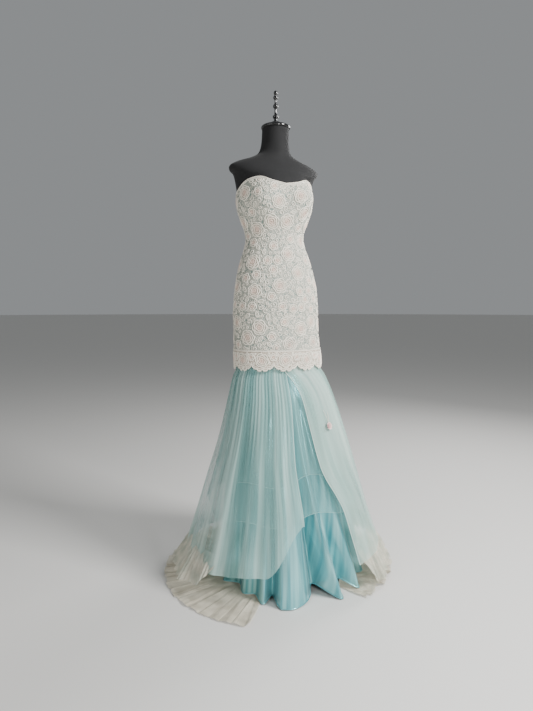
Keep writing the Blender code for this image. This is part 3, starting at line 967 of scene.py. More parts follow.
def lathe(rows: Sequence[tuple[float, float]], centre_y: float, sides: int = 48) -> np.ndarray:
    """Grid of a turned piece.

    Args:
        rows: Height and radius, from the foot up.
        centre_y: Where its axis stands.
        sides: Points round it.

    Returns:
        Rows by columns of points.
    """
    turn = np.linspace(0.0, 2 * math.pi, sides, endpoint=False)
    heights = np.array([row[0] for row in rows])[:, None]
    radii = np.array([row[1] for row in rows])[:, None]
    return np.stack(
        np.broadcast_arrays(radii * np.sin(turn), centre_y - radii * np.cos(turn), heights), axis=-1
    )


HALF_ROUND = ((-0.5, 0.0), (-0.36, 0.34), (0.0, 0.5), (0.36, 0.34), (0.5, 0.0))
UPWARD = (0.0, 0.0, 1.0)
ROUND = tuple((0.5 * math.cos(k * math.pi / 3), 0.5 * math.sin(k * math.pi / 3)) for k in range(7))


def sweep(
    shape: Shape,
    points: np.ndarray,
    normals: np.ndarray,
    width: float,
    tint: float = 0.0,
    profile: Sequence[tuple[float, float]] = HALF_ROUND,
    taper: bool = True,
) -> None:
    """Lays a cord along points.

    Args:
        shape: The mesh that it joins.
        points: Its course.
        normals: The way up at each point.
        width: Its width.
        tint: Its tint.
        profile: Its section, as shares of the width.
        taper: Whether it thins out at its ends.
    """
    ways = np.gradient(points, axis=0)
    ways /= np.maximum(np.linalg.norm(ways, axis=1, keepdims=True), 1e-9)
    sides = np.cross(normals, ways)
    sides /= np.maximum(np.linalg.norm(sides, axis=1, keepdims=True), 1e-9)
    size = np.full(len(points), width)
    if taper and np.linalg.norm(points[0] - points[-1]) > width:
        ends = np.minimum(np.arange(len(points)), np.arange(len(points))[::-1])
        size *= np.clip(0.35 + 0.33 * ends, 0.0, 1.0)
    section = np.array(profile)
    grid = points[:, None] + sides[:, None] * (size[:, None] * section[:, 0])[..., None]
    grid = grid + normals[:, None] * (size[:, None] * section[:, 1])[..., None]
    shape.grid(grid, tint=tint)


def rolled_edge(
    name: str,
    course: np.ndarray,
    normal: tuple[float, float, float],
    finish: object,
    width: float,
) -> bpy.types.Object:
    """Builds a round cord of one width along an edge.

    Args:
        name: The piece's name.
        course: The edge.
        normal: The way up of the cord's section.
        finish: What it is painted with.
        width: Its width.

    Returns:
        The cord.
    """
    shape = Shape()
    normals = np.tile(np.array(normal), (len(course), 1))
    sweep(shape, course, normals, width, profile=ROUND, taper=False)
    return shape.build(name, finish)


@dataclass
class Lace:
    """Allover corded lace: roses, small roses, leaves and scrolls fitted between one another."""

    rose: float = 0.0270
    bud: float = 0.0160
    leaf: float = 0.0105
    comma: float = 0.0088
    curl: float = 0.0058
    cord: float = 0.0034
    fine_cord: float = 0.0027
    step: float = 0.0028
    zip_room: float = 0.0075
    edge_room: float = 0.004
    lift: float = 0.0002
    large: float = 0.02
    border_out: float = 0.001
    border_top: float = 0.816
    zip_foot: float = 0.93
    turn_step: float = 0.4
    rise_step: float = 0.001
    seed: int = 11
    random: np.random.Generator = field(init=False)
    cords: dict[Side, Shape] = field(init=False)
    fills: dict[Side, Shape] = field(init=False)

    def __post_init__(self) -> None:
        """Starts the front's and the back's drawings."""
        self.random = np.random.default_rng(self.seed)
        self.cords = {side: Shape() for side in Side}
        self.fills = {side: Shape() for side in Side}

    def to_figure(
        self, angle: float, height: float, flat: np.ndarray, out: float
    ) -> tuple[np.ndarray, np.ndarray, np.ndarray]:
        """Lays a flat drawing on the figure round a centre.

        Args:
            angle: Angle of the centre.
            height: Height of the centre.
            flat: Points in metres across and up.
            out: How far the points stand off the gown's face.

        Returns:
            The points, the outward ways there, and which points are on the cloth.
        """
        scale = FIGURE.metres_per_degree(angle, height)
        angles = angle + flat[..., 0] / scale
        heights = height + flat[..., 1]
        return self.on_cloth(angles, heights, out)

    def on_cloth(
        self, angles: np.ndarray, heights: np.ndarray, out: float
    ) -> tuple[np.ndarray, np.ndarray, np.ndarray]:
        """Finds places on the gown's face.

        Args:
            angles: Angle of each place.
            heights: Height of each place.
            out: How far the points stand off the gown's face.

        Returns:
            The points, the outward ways there, and which points are on the cloth.
        """
        points = FIGURE.body(angles, heights, -out)
        beside = FIGURE.body(angles + self.turn_step, heights, -out) - points
        above = FIGURE.body(angles, heights + self.rise_step, -out) - points
        ways = np.cross(beside, above)
        ways /= np.linalg.norm(ways, axis=-1, keepdims=True)
        kept = heights < FIGURE.neckline(angles) - self.edge_room
        kept &= (heights > self.border_top) | (out > self.border_out)
        beside_zip = (np.abs(points[..., 0]) > self.zip_room / 2) | (points[..., 1] < 0)
        kept &= beside_zip | (heights < self.zip_foot)
        return points, ways, kept

    def draw(
        self, angle: float, height: float, flat: np.ndarray, width: float, tint: float, out: float
    ) -> None:
        """Lays a cord's flat course on the figure, parted where it leaves the cloth.

        Args:
            angle: Angle of the motif's centre.
            height: Height of the motif's centre.
            flat: Course of the cord in metres round that centre.
            width: Width of the cord.
            tint: Tint of the cord.
            out: How far it stands off the gown's face.
        """
        lengths = np.linalg.norm(np.diff(flat, axis=0), axis=1)
        run = np.concatenate([[0.0], lengths.cumsum()])
        places = np.linspace(0.0, run[-1], max(4, round(run[-1] / self.step)) + 1)
        even = np.stack([np.interp(places, run, flat[:, axis]) for axis in (0, 1)], axis=-1)
        points, ways, kept = self.to_figure(angle, height, even, out)
        side = Side.FRONT if abs(wrapped(angle)) < 90 else Side.BACK
        breaks = np.flatnonzero(np.diff(kept.astype(int)))
        for part in np.split(np.arange(len(points)), breaks + 1):
            if kept[part[0]] and len(part) > 3:
                sweep(self.cords[side], points[part], ways[part], width, tint)

    def fill(
        self, angle: float, height: float, outline: np.ndarray, tint: float, out: float
    ) -> None:
        """Fills a motif with a stitched ground under its cords.

        Args:
            angle: Angle of the centre.
            height: Height of the centre.
            outline: Closed flat outline round the centre.
            tint: Tint at the centre.
            out: How far it stands off the gown's face.
        """
        shares = np.array([0.02, 0.35, 0.7, 1.0])[:, None, None]
        points, _, kept = self.to_figure(angle, height, outline[::-1] * shares, out)
        if kept.all():
            side = Side.FRONT if abs(wrapped(angle)) < 90 else Side.BACK
            tints = np.broadcast_to(tint * (1.1 - shares[..., 0]), points.shape[:2])
            self.fills[side].grid(points, tint=tints)

    def petals(self, radius: float, count: float, depth: float, turn: float) -> np.ndarray:
        """Draws a closed ring of rounded petals that meet in notches.

        Args:
            radius: Its reach.
            count: How many petals it has.
            depth: Depth of the notches, as a share of the radius.
            turn: Where its first notch is.

        Returns:
            The flat points of the ring.
        """
        around = np.linspace(0.0, 2 * math.pi, 90)
        swell = np.abs(np.sin(count * (around - turn) / 2)) ** 0.8
        reach = radius * (1 - depth + depth * swell)
        return np.stack([reach * np.cos(around), reach * np.sin(around)], axis=-1)

    def add_rose(self, angle: float, height: float, radius: float, out: float) -> None:
        """Draws a rose of petal rings round a curl.

        Args:
            angle: Angle of its centre.
            height: Height of its centre.
            radius: Its reach.
            out: How far it stands off the gown's face.
        """
        rings = SMALL_ROSE if radius < self.large else LARGE_ROSE
        self.fill(angle, height, self.petals(radius * 0.97, rings[0].petals, 0.15, 0.0), 0.8, out)
        turn = self.random.uniform(0, 2 * math.pi)
        for number, ring in enumerate(rings):
            course = self.petals(radius * ring.share, ring.petals, ring.notch, turn + number * 0.7)
            tint = 0.10 + 0.65 * (1 - ring.share)
            self.draw(angle, height, course, self.cord, tint, out + self.lift)
        spin = np.linspace(0.0, 3.4 * math.pi, 60)
        reach = radius * 0.035 + radius * (0.26 if radius > self.large else 0.24) * spin / spin[-1]
        curl = np.stack([reach * np.cos(spin + turn), reach * np.sin(spin + turn)], axis=-1)
        self.draw(angle, height, curl, self.fine_cord, 0.7, out + self.lift)
        for petal in range(rings[0].petals):
            way = turn + petal * 2 * math.pi / rings[0].petals
            ends = np.array([rings[1].share * 1.02, rings[0].share * 0.86]) * radius
            lean = np.array([way - 0.12, way])
            spoke = np.stack([ends * np.cos(lean), ends * np.sin(lean)], axis=-1)
            self.draw(angle, height, spoke, self.fine_cord * 0.8, 0.3, out + self.lift)

    def add_leaf(self, angle: float, height: float, length: float, out: float) -> None:
        """Draws a veined leaf with a random lie.

        Args:
            angle: Angle of its centre.
            height: Height of its centre.
            length: Half its length.
            out: How far it stands off the gown's face.
        """
        lie = self.random.uniform(0, 2 * math.pi)
        t = np.linspace(0.0, 2 * math.pi, 48)
        blade = np.stack(
            [length * np.cos(t), length * 0.52 * np.sin(t) * np.abs(np.sin(t)) ** 0.35], axis=-1
        )
        spin = np.array([[math.cos(lie), math.sin(lie)], [-math.sin(lie), math.cos(lie)]])
        self.fill(angle, height, blade @ spin, 0.0, out)
        self.draw(angle, height, blade @ spin, self.fine_cord, 0.0, out + self.lift)
        vein = np.stack([np.linspace(-1.25, 0.8, 8) * length, np.zeros(8)], axis=-1)
        self.draw(angle, height, vein @ spin, self.fine_cord * 0.8, 0.1, out + self.lift)

    def add_curl(self, angle: float, height: float, reach: float, out: float) -> None:
        """Draws a small scroll.

        Args:
            angle: Angle of its centre.
            height: Height of its centre.
            reach: Its reach.
            out: How far it stands off the gown's face.
        """
        spin = np.linspace(0.0, self.random.choice([-1.0, 1.0]) * 2.6 * math.pi, 40)
        size = reach * (0.22 + 0.78 * np.abs(spin) / abs(spin[-1]))
        start = self.random.uniform(0, 2 * math.pi)
        curl = np.stack([size * np.cos(spin + start), size * np.sin(spin + start)], axis=-1)
        self.draw(angle, height, curl, self.fine_cord, 0.05, out + self.lift)

    def scatter(self) -> None:
        """Fits roses, then smaller motifs, all over the sheath with no two touching."""
        motifs = (
            (self.rose, self.add_rose, 0.94, 170),
            (self.bud, self.add_rose, 0.97, 420),
            (self.leaf, self.add_leaf, 1.0, 900),
            (self.comma, self.add_curl, 1.0, 9000),
            (self.curl, self.add_curl, 1.05, 12000),
        )
        centres = np.zeros((0, 3))
        radii = np.zeros(0)
        for radius, add, share, tries in motifs:
            angles = self.random.uniform(-180.0, 180.0, tries)
            heights = self.random.uniform(0.818, 1.40, tries)
            places = FIGURE.body(angles, heights)
            inside = heights < FIGURE.neckline(angles) - 0.2 * radius
            for angle, height, place in zip(angles[inside], heights[inside], places[inside]):
                gaps = np.linalg.norm(centres - place, axis=1)
                if len(radii) and (gaps < (radii + radius) * 1.01).any():
                    continue
                add(float(angle), float(height), radius * share, self.lift)
                centres = np.vstack([centres, place])
                radii = np.append(radii, radius)

    def edge(self, angles: np.ndarray, heights: np.ndarray, width: float, out: float) -> None:
        """Lays a cord along an edge of the gown.

        Args:
            angles: Its course round the figure.
            heights: Its course up the figure.
            width: Its width.
            out: How far it stands off the gown's face.
        """
        points, ways, _ = self.on_cloth(angles, heights, out)
        for side, chosen in (
            (Side.FRONT, np.abs(wrapped(angles)) < 90.5),
            (Side.BACK, np.abs(wrapped(angles)) > 89.5),
        ):
            part = np.flatnonzero(chosen)
            for run in np.split(part, np.flatnonzero(np.diff(part) > 1) + 1):
                sweep(self.cords[side], points[run], ways[run], width, 0.1, taper=False)


@dataclass
class Sheath:
    """The lace sheath: its net ground in three panels, the lace on it and its top edge."""

    hem: float = 0.770
    inset: float = 0.0003
    column: float = 1.5
    rows: int = 70
    zip_gap: float = 1.4
    zip_reach: float = 1.6
    zip_foot: float = 0.940
    zip_closing: float = 0.015
    back: float = 180.0
    top_cord: float = 0.0034
    second_cord: float = 0.0024
    second_drop: float = 0.0055

    def build(self, lace: Lace) -> None:
        """Builds the grounds and lays the lace over them.

        Args:
            lace: The lace that is laid on the sheath.
        """
        finish = Lining("lace_ground_cords", "#5f7a74", "#cfcabb")
        for panel in PANELS:
            count = round((panel.stop - panel.start) / self.column) + 1
            angles = np.linspace(panel.start, panel.stop, count)
            share = np.linspace(0.0, 1.0, self.rows)[:, None]
            heights = self.hem + (FIGURE.neckline(angles) - self.hem) * share
            opening = np.clip((heights - self.zip_foot) / self.zip_closing, 0.0, 1.0)
            parted = self.zip_gap * hump(angles, self.back, self.zip_reach) * opening
            places = angles - parted if panel.start < self.back else angles + parted
            made = Shape().grid(FIGURE.body(places, heights, self.inset)).build(panel.piece, finish)
            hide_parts(panel.node)
        lace.scatter()
        around = np.linspace(-178.4, 178.4, 900)
        top = FIGURE.neckline(around)
        lace.edge(around, top - 0.0005, self.top_cord, 0.0002)
        lace.edge(around, top - self.second_drop, self.second_cord, 0.0003)


@dataclass
class Border:
    """Scalloped edging over the sheath's hem, with a rose in each scallop."""

    top: float = 0.812
    notch: float = 7.5
    scallops: int = 12
    out: float = 0.0023
    low: float = 0.768
    drop: float = 0.023
    lobe: float = 0.007
    side_lobe: float = 0.004
    flat: tuple[float, float] = (0.46, 0.068)
    lace_area: float = 0.028
    rose: tuple[float, float] = (0.7805, 0.0235)
    small_rose: tuple[float, float] = (0.7915, 0.0125)
    leaf: tuple[float, float] = (0.8015, 0.0065)
    leaf_turn: float = 9.6
    curl: tuple[float, float] = (0.7700, 0.0050)
    curl_turn: float = 10.2

    def edge(self, angles: np.ndarray) -> np.ndarray:
        """Finds the height of the scalloped edge.

        Args:
            angles: Where it is found.

        Returns:
            The height at each angle.
        """
        span = 360.0 / self.scallops
        phase = ((np.asarray(angles) - self.notch) % span) / span
        lobes = self.lobe * hump(phase, 0.5, 0.055)
        for place in (0.24, 0.76):
            lobes = lobes + self.side_lobe * hump(phase, place, 0.04)
        return self.low - self.drop * np.sin(math.pi * phase) ** 0.6 + lobes

    def build(self, lace: Lace) -> None:
        """Builds the edging's ground and adds its cords to the lace.

        Args:
            lace: The lace that its cords join.
        """
        finish = Lining("edging_ground_cords", "#857f70", "#dccfbe", winding=60.0)
        for name, node, start in (
            ("edging_front", "lace_border_front", self.notch - 90.0),
            ("edging_back", "lace_border_back", self.notch + 90.0),
        ):
            angles = np.linspace(start, start + 180.0, 361)
            share = np.linspace(0.0, 1.0, 8)[:, None]
            low = self.edge(angles)
            heights = low + (self.top - low) * share
            made = Shape().grid(FIGURE.body(angles, heights, -self.out)).build(name, finish)
            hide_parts(node)
        around = np.linspace(-180.0, 180.0, 1400)
        low = self.edge(around)
        ripple = np.abs(np.sin(np.radians(around) * 90.0))
        lace.edge(around, low + 0.0005, 0.0036, self.out)
        lace.edge(around, low + 0.0070, 0.0026, self.out)
        lace.edge(around, low - 0.0012 - 0.0022 * ripple, 0.0012, self.out)
        lace.edge(around, np.full(1400, self.top - 0.001), 0.0030, self.out)
        lace.edge(around, self.top + 0.0008 + 0.0022 * ripple, 0.0012, self.out)
        for scallop in range(self.scallops):
            middle = self.notch + 15.0 + 30.0 * scallop
            out = self.out + 0.0002
            lace.add_rose(middle, *self.rose, out)
            lace.add_rose(middle + 15.0, *self.small_rose, out)
            for side in (-1, 1):
                lace.add_leaf(middle + side * self.leaf_turn, *self.leaf, out)
                lace.add_curl(middle + side * self.curl_turn, *self.curl, out)


@dataclass
class Tulle:
    """The tulle skirts: a short under layer, the gathered layer and the smooth panel over it."""

    top: float = 0.785
    rows: int = 50
    columns: int = 480
    gathered_rows: int = 72
    gathered_columns: int = 900
    large_folds: int = 16
    broad_folds: int = 37
    small_folds: int = 96
    edge_gap: float = 3.0
    edge_from: float = 330.0
    edge_span: float = 25.0
    gathered_from: float = 0.42
    gathered_span: float = 0.30
    over_hem: tuple[float, float] = (0.110, 0.075)
    under_hem: float = 0.265
    short_hem: float = 0.385
    edge_rise: float = 0.15
    overlay_hem: float = 0.105
    overlay_back: float = 112.5

    def wave(self, angles: np.ndarray, count: int, seed: float) -> np.ndarray:
        """Finds the depth of uneven rounded pleats.

        Args:
            angles: Where it is found.
            count: How many pleats go round.
            seed: What sets their unevenness.

        Returns:
            The depth, from 0 on a crest to 1 in a trough.
        """
        turn = np.radians(angles)
        drift = 0.9 * np.sin(5 * turn + seed) + 0.6 * np.sin(11 * turn + 2 * seed)
        phase = count * turn + drift
        number = np.floor(phase / (2 * math.pi))
        uneven = 0.72 + 0.28 * np.sin(number * 2.4 + seed) * np.cos(number * 1.1)
        return (0.5 - 0.5 * np.cos(phase)) ** 0.8 * uneven

    def over_inset(self, angles: np.ndarray, heights: np.ndarray) -> np.ndarray:
        """How far the gathered tulle lies in from the outermost shape.

        Args:
            angles: Angle of each point.
            heights: Height of each point.

        Returns:
            The inset of each point.
        """
        turn = np.radians(angles)
        high = np.clip((heights - self.gathered_from) / self.gathered_span, 0.0, 1.0)
        large = self.wave(angles + 0.7 * np.sin(heights * 5.0 + 1.0), self.large_folds, 2.2)
        broad = self.wave(angles + 0.5 * np.sin(heights * 7.0), self.broad_folds, 0.4)
        small = self.wave(angles, self.small_folds, 1.9)
        mix = large * (0.70 - 0.45 * high) + broad * (0.24 + 0.06 * high) + small * 0.45 * high
        swing = 0.5 + 0.5 * np.sin(11 * turn + 0.8) * np.cos(3 * turn)
        fall = along(FULLNESS, "gather", heights) * np.clip(mix, 0.0, 1.0)
        return along(FULLNESS, "setback", heights) + fall + along(FULLNESS, "sway", heights) * swing

    def layer(
        self,
        angles: np.ndarray,
        hem: np.ndarray,
        inset: Callable[[np.ndarray, np.ndarray], np.ndarray],
    ) -> np.ndarray:
        """Grid of a layer from its hem to the seam under the sheath.

        Args:
            angles: Its columns.
            hem: Height of its hem at each column.
            inset: How far it lies in at angles and heights.

        Returns:
            Rows by columns of points.
        """
        share = np.linspace(0.0, 1.0, self.rows)[:, None] ** 0.9
        heights = hem + (self.top - hem) * share
        return FIGURE.skirt(angles, heights, inset(np.broadcast_to(angles, heights.shape), heights))

    def hemmed(self, name: str, grid: np.ndarray, finish: object, width: float) -> bpy.types.Object:
        """Builds a narrow rolled hem along a layer's lowest row.

        Args:
            name: The piece's name.
            grid: The layer.
            finish: What it is painted with.
            width: Its width.

        Returns:
            The hem.
        """
        course = np.concatenate([grid[0], grid[0][:2]])
        return rolled_edge(name, course, UPWARD, finish, width)

    def build(self) -> None:
        """Builds the layers from the inside out."""
        around = np.linspace(0.0, 360.0, self.columns, endpoint=False)
        turn = np.radians(around)
        fine_hem = Sheer("rolled_hem", "#86b8b4", "#a9d0ca", 0.7, 60.0, 0.1)
        under = Sheer("under_tulle_net", "#5d9d9d", "#94c4c0", 0.34, 70.0, 0.18)
        for name, low, extra, flat in (
            ("tulle_under_long", self.under_hem, 0.0, (1.9, 0.54, 0.80)),
            ("tulle_under_short", self.short_hem, -0.0008, (1.7, 0.42, 0.56)),
        ):
            hem = low + 0.022 * np.sin(5 * turn + 0.6 + low) * np.cos(2 * turn)

            def inset(angles: np.ndarray, heights: np.ndarray) -> np.ndarray:
                """How far this under layer lies in, clear of the gathers over it."""
                own = along(FULLNESS, "under", heights) * (0.5 + 0.5 * np.cos(np.radians(12 * angles)))
                return FIGURE.over_depth(heights) + own + 0.0004 + extra

            grid = self.layer(around, hem, inset)
            made = Shape().grid(grid, closed=True).build(name, under)
            rolled = self.hemmed(name + "_hem", grid, fine_hem, 0.0013)
            if low == self.under_hem:
                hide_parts("under_tulle")
        self.build_gathered()
        self.build_overlay()

    def build_gathered(self) -> None:
        """Builds the gathered layer, open in front between its free edge and the panel."""
        share = np.linspace(0.0, 1.0, self.gathered_rows)[:, None] ** 0.9
        across = np.linspace(0.0, 1.0, self.gathered_columns)[None, :]
        lowest = sum(self.over_hem) / 2
        ends = [
            along(OVERLAY_EDGE, "value", lowest) + self.edge_gap,
            360.0 + along(GATHER_EDGE, "value", lowest),
        ]
        foot = ends[0] + (ends[1] - ends[0]) * across
        lean = (1 + np.cos(np.radians(foot))) / 2
        near_edge = np.clip((foot - self.edge_from) / self.edge_span, 0.0, 1.0)
        hem = self.over_hem[1] + (self.over_hem[0] - self.over_hem[1]) * lean
        hem = hem + 0.004 * np.sin(9 * np.radians(foot) + 1.0)
        hem = hem + self.edge_rise * near_edge**2 * (3 - 2 * near_edge)
        heights = hem + (self.top - hem) * share
        start = along(OVERLAY_EDGE, "value", heights) + self.edge_gap
        stop = 360.0 + along(GATHER_EDGE, "value", heights)
        angles = foot + (start - ends[0]) * (1 - across) ** 6 + (stop - ends[1]) * across**6
        grid = FIGURE.skirt(angles, heights, self.over_inset(angles, heights))
        teal = Sheer("aqua_tulle_net", "#74aca6", "#c3e0d8", 0.50, 70.0, 0.36)
        made = Shape().grid(grid).build("tulle_gathered", teal)
        bright = Sheer("gather_edge", "#b6d9d0", "#dcefe8", 0.9, 40.0, 0.1)
        rolled = rolled_edge("tulle_gathered_edge", grid[:, -1], (0.1, -1.0, 0.0), bright, 0.0020)
        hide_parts("over_tulle_front", "over_tulle_back")

    def build_overlay(self) -> None:
        """Builds the smooth panel with its curved free edge."""
        share = np.linspace(0.0, 1.0, 241)[None, :]
        heights = np.linspace(self.overlay_hem, self.top, 110)[:, None]
        start = along(OVERLAY_EDGE, "value", heights)
        angles = start + (self.overlay_back - start) * share
        heights = np.broadcast_to(heights, angles.shape)
        low = np.clip((0.74 - heights) / 0.5, 0.0, 1.0)
        folds = 0.5 + 0.5 * np.sin(np.radians(angles) * 15 + 1.2 * np.sin(heights * 6))
        ridge = hump(angles, 18.0, 3.0) * 0.6 + hump(angles, 47.0, 4.0)
        ridge = ridge + hump(angles, 79.0, 5.0) * 0.8
        inset = 0.0014 * folds - 0.004 * low * ridge
        grid = FIGURE.skirt(angles, heights, inset)
        milky = Sheer("milky_tulle_net", "#9cc3b7", "#d3e6dc", 0.42, 24.0, 0.20)
        made = Shape().grid(grid).build("tulle_panel", milky)
        bright = Sheer("panel_edge", "#bcd8cd", "#dfeee6", 0.95, 40.0, 0.05)
        rolled = rolled_edge("tulle_panel_edge", grid[:, 0], (0.4, -0.9, 0.0), bright, 0.0026)
        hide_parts("tulle_overlay")


@dataclass
class Satin:
    """The satin skirt with its large folds and its hem on the floor."""

    top: float = 0.785
    columns: int = 720
    rows: int = 80
    folds_from: float = 0.66
    hem: float = 0.0035
    slant: float = 40.0
    clearance: float = 0.0030
    ripples: int = 23
    ripple_depth: float = 0.006
    roll: float = 0.004

    def points(self, angles: np.ndarray, share: np.ndarray) -> np.ndarray:
        """Points of the satin.

        Args:
            angles: Its columns.
            share: Its rows, from 0 at the hem to 1 at the top.

        Returns:
            Rows by columns of points.
        """
        near = wrapped(angles)
        low = self.hem + along(SATIN_FOLDS, "lift", near)
        heights = low + (self.top - low) * share
        lean = self.slant * hump(near, 12.0, 22.0) * heights
        ebb = along(SATIN_FOLDS, "ebb", wrapped(near + lean))
        own = along(FULLNESS, "under", heights) + self.clearance
        fall = np.clip(1 - heights / self.folds_from, 0.0, 1.0) ** 1.2
        turn = np.radians(near)
        ripple = 0.5 - 0.5 * np.cos(self.ripples * turn + 5 * heights + 1.3 * np.sin(4 * turn))
        inset = FIGURE.over_depth(heights) + own + ebb * fall + self.ripple_depth * ripple * fall
        return FIGURE.skirt(near, heights, inset)

    def build(self) -> None:
        """Builds the skirt and its rolled hem."""
        around = np.linspace(-180.0, 180.0, self.columns, endpoint=False)
        share = np.linspace(0.0, 1.0, self.rows)[:, None] ** 1.15
        grid = self.points(around, share)
        finish = Lustre("aqua_satin_face", "#4c9aa3", "#9ad4d6")
        made = Shape().grid(grid, closed=True).build("satin_skirt", finish)
        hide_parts("satin_skirt_front", "satin_skirt_back")
        course = np.concatenate([grid[0], grid[0][:2]])
        rolled = rolled_edge("satin_hem", course, UPWARD, finish, self.roll)


@dataclass
class Net:
    """Ivory net: a flounce spread on the floor and frills that show under the tulle's hem."""

    start: float = 26.0
    stop: float = 326.5
    thickness: float = 0.0014
    inside: float = 0.004
    least_room: float = 0.022
    frill_depth: float = 0.36
    frill_fullness: float = 1.5
    frill_ends: float = 9.0
    heights_inside: tuple[float, ...] = (0.30, 0.20, 0.10, 0.04)

    def flounce(self, satin: Satin) -> None:
        """Builds the flounce from inside the satin out over the floor.

        Args:
            satin: The skirt that it lies under.
        """
        around = np.linspace(self.start, self.stop, 1200)
        turn = np.radians(around)
        rows = []
        for share in self.heights_inside:
            ring = satin.points(around, np.array([[share]]))[0]
            rows.append(moved_towards_axis(ring, self.inside))
        foot = moved_towards_axis(satin.points(around, np.array([[0.0]]))[0], self.inside)
        foot[:, 2] = self.thickness
        rows.append(foot)
        reach = np.hypot(foot[:, 0], foot[:, 1])
        edge = along(NET_EDGE, "value", around)
        room = np.maximum(edge - reach, self.least_room)
        way = np.stack([foot[:, 0], foot[:, 1]], axis=-1) / reach[:, None]
        frill = np.sin(46 * turn + 3.2 * np.sin(7 * turn) + 1.8 * np.sin(12 * turn + 2.0))
        finer = np.sin(111 * turn + 2.6 * np.sin(13 * turn))
        swell = 0.7 + 0.3 * np.sin(9 * turn + 1.0)
        ruffle = along(NET_RUFFLES, "value", around)
        rising = ruffle * swell * (0.5 + 0.5 * frill * (0.7 + 0.3 * finer))
        points = np.abs(np.sin(87 * turn + 1.2 * np.sin(19 * turn))) * (0.5 + 0.5 * np.sin(31 * turn))
        room = room - 0.5 * ruffle * points
        for share in np.linspace(0.06, 1.0, 14):
            ring = foot.copy()
            swing = 0.006 * share * np.cos(46 * turn + 2.1 * np.sin(7 * turn) + 3 * share)
            ring[:, :2] += way * (room * share)[:, None]
            ring[:, 0] += swing * np.cos(turn)
            ring[:, 1] += swing * np.sin(turn)
            crest = math.sin(math.pi * min(1.0, share * 1.25)) ** 0.8 if share < 0.8 else share * 0.5
            ring[:, 2] = self.thickness + rising * (0.25 * crest + 0.75 * share)
            rows.append(ring)
        finish = Netting("ivory_net_meshes", "#ddd5c0", "#b3ab96", 0.30)
        made = Shape().grid(np.array(rows[::-1])).build("net_frilled", finish)
        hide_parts("net_flounce")

    def frill(self, name: str, start: float, stop: float, high: float, low: float) -> None:
        """Builds a ruffled frill over the satin, below the tulle's hem.

        Args:
            name: The piece's name.
            start: Angle where it starts.
            stop: Angle where it stops.
            high: Height of its seam.
            low: Height of its edge.
        """
        around = np.linspace(start, stop, 500)
        turn = np.radians(around)
        ends = np.clip(np.minimum(around - start, stop - around) / self.frill_ends, 0.0, 1.0)
        share = np.linspace(0.0, 1.0, 18)[:, None]
        heights = low + (high - low) * share - 0.02 * np.sin(3 * turn) * (1 - share)
        heights = high - (high - heights) * (0.35 + 0.65 * ends)
        drift = 3.4 * np.sin(7 * turn) + 2.2 * np.sin(13 * turn + 1.0)
        frill = np.sin(49 * turn + drift + 1.6 * share)
        finer = np.sin(127 * turn + 3.0 * np.sin(17 * turn) + 2.5 * share)
        swell = 0.65 + 0.35 * np.sin(10 * turn + 2.0)
        out = (1 - share) ** 0.7 * ends * (0.013 + 0.014 * frill * swell + 0.004 * finer)
        inset = 0.020 * share + 0.002 - out
        grid = FIGURE.skirt(np.broadcast_to(around, heights.shape), heights, inset)
        finish = Netting(name + "_meshes", "#dcd6c4", "#aeb3a4", 0.30)
        made = Shape().grid(grid).build(name, finish)

    def build(self, satin: Satin) -> None:
        """Builds the flounce and the frills.

        Args:
            satin: The skirt that the net goes with.
        """
        self.flounce(satin)
        self.frill("net_frill_right", 30.0, 118.0, 0.165, 0.035)
        self.frill("net_frill_left", 238.0, 300.0, 0.150, 0.060)


def moved_towards_axis(ring: np.ndarray, distance: float) -> np.ndarray:
    """Moves a ring's points level towards the axis.

    Args:
        ring: The points.
        distance: How far they move.

    Returns:
        The moved points.
    """
    moved = ring.copy()
    reach = np.hypot(ring[:, 0], ring[:, 1])[:, None]
    moved[:, :2] *= 1 - distance / reach
    return moved


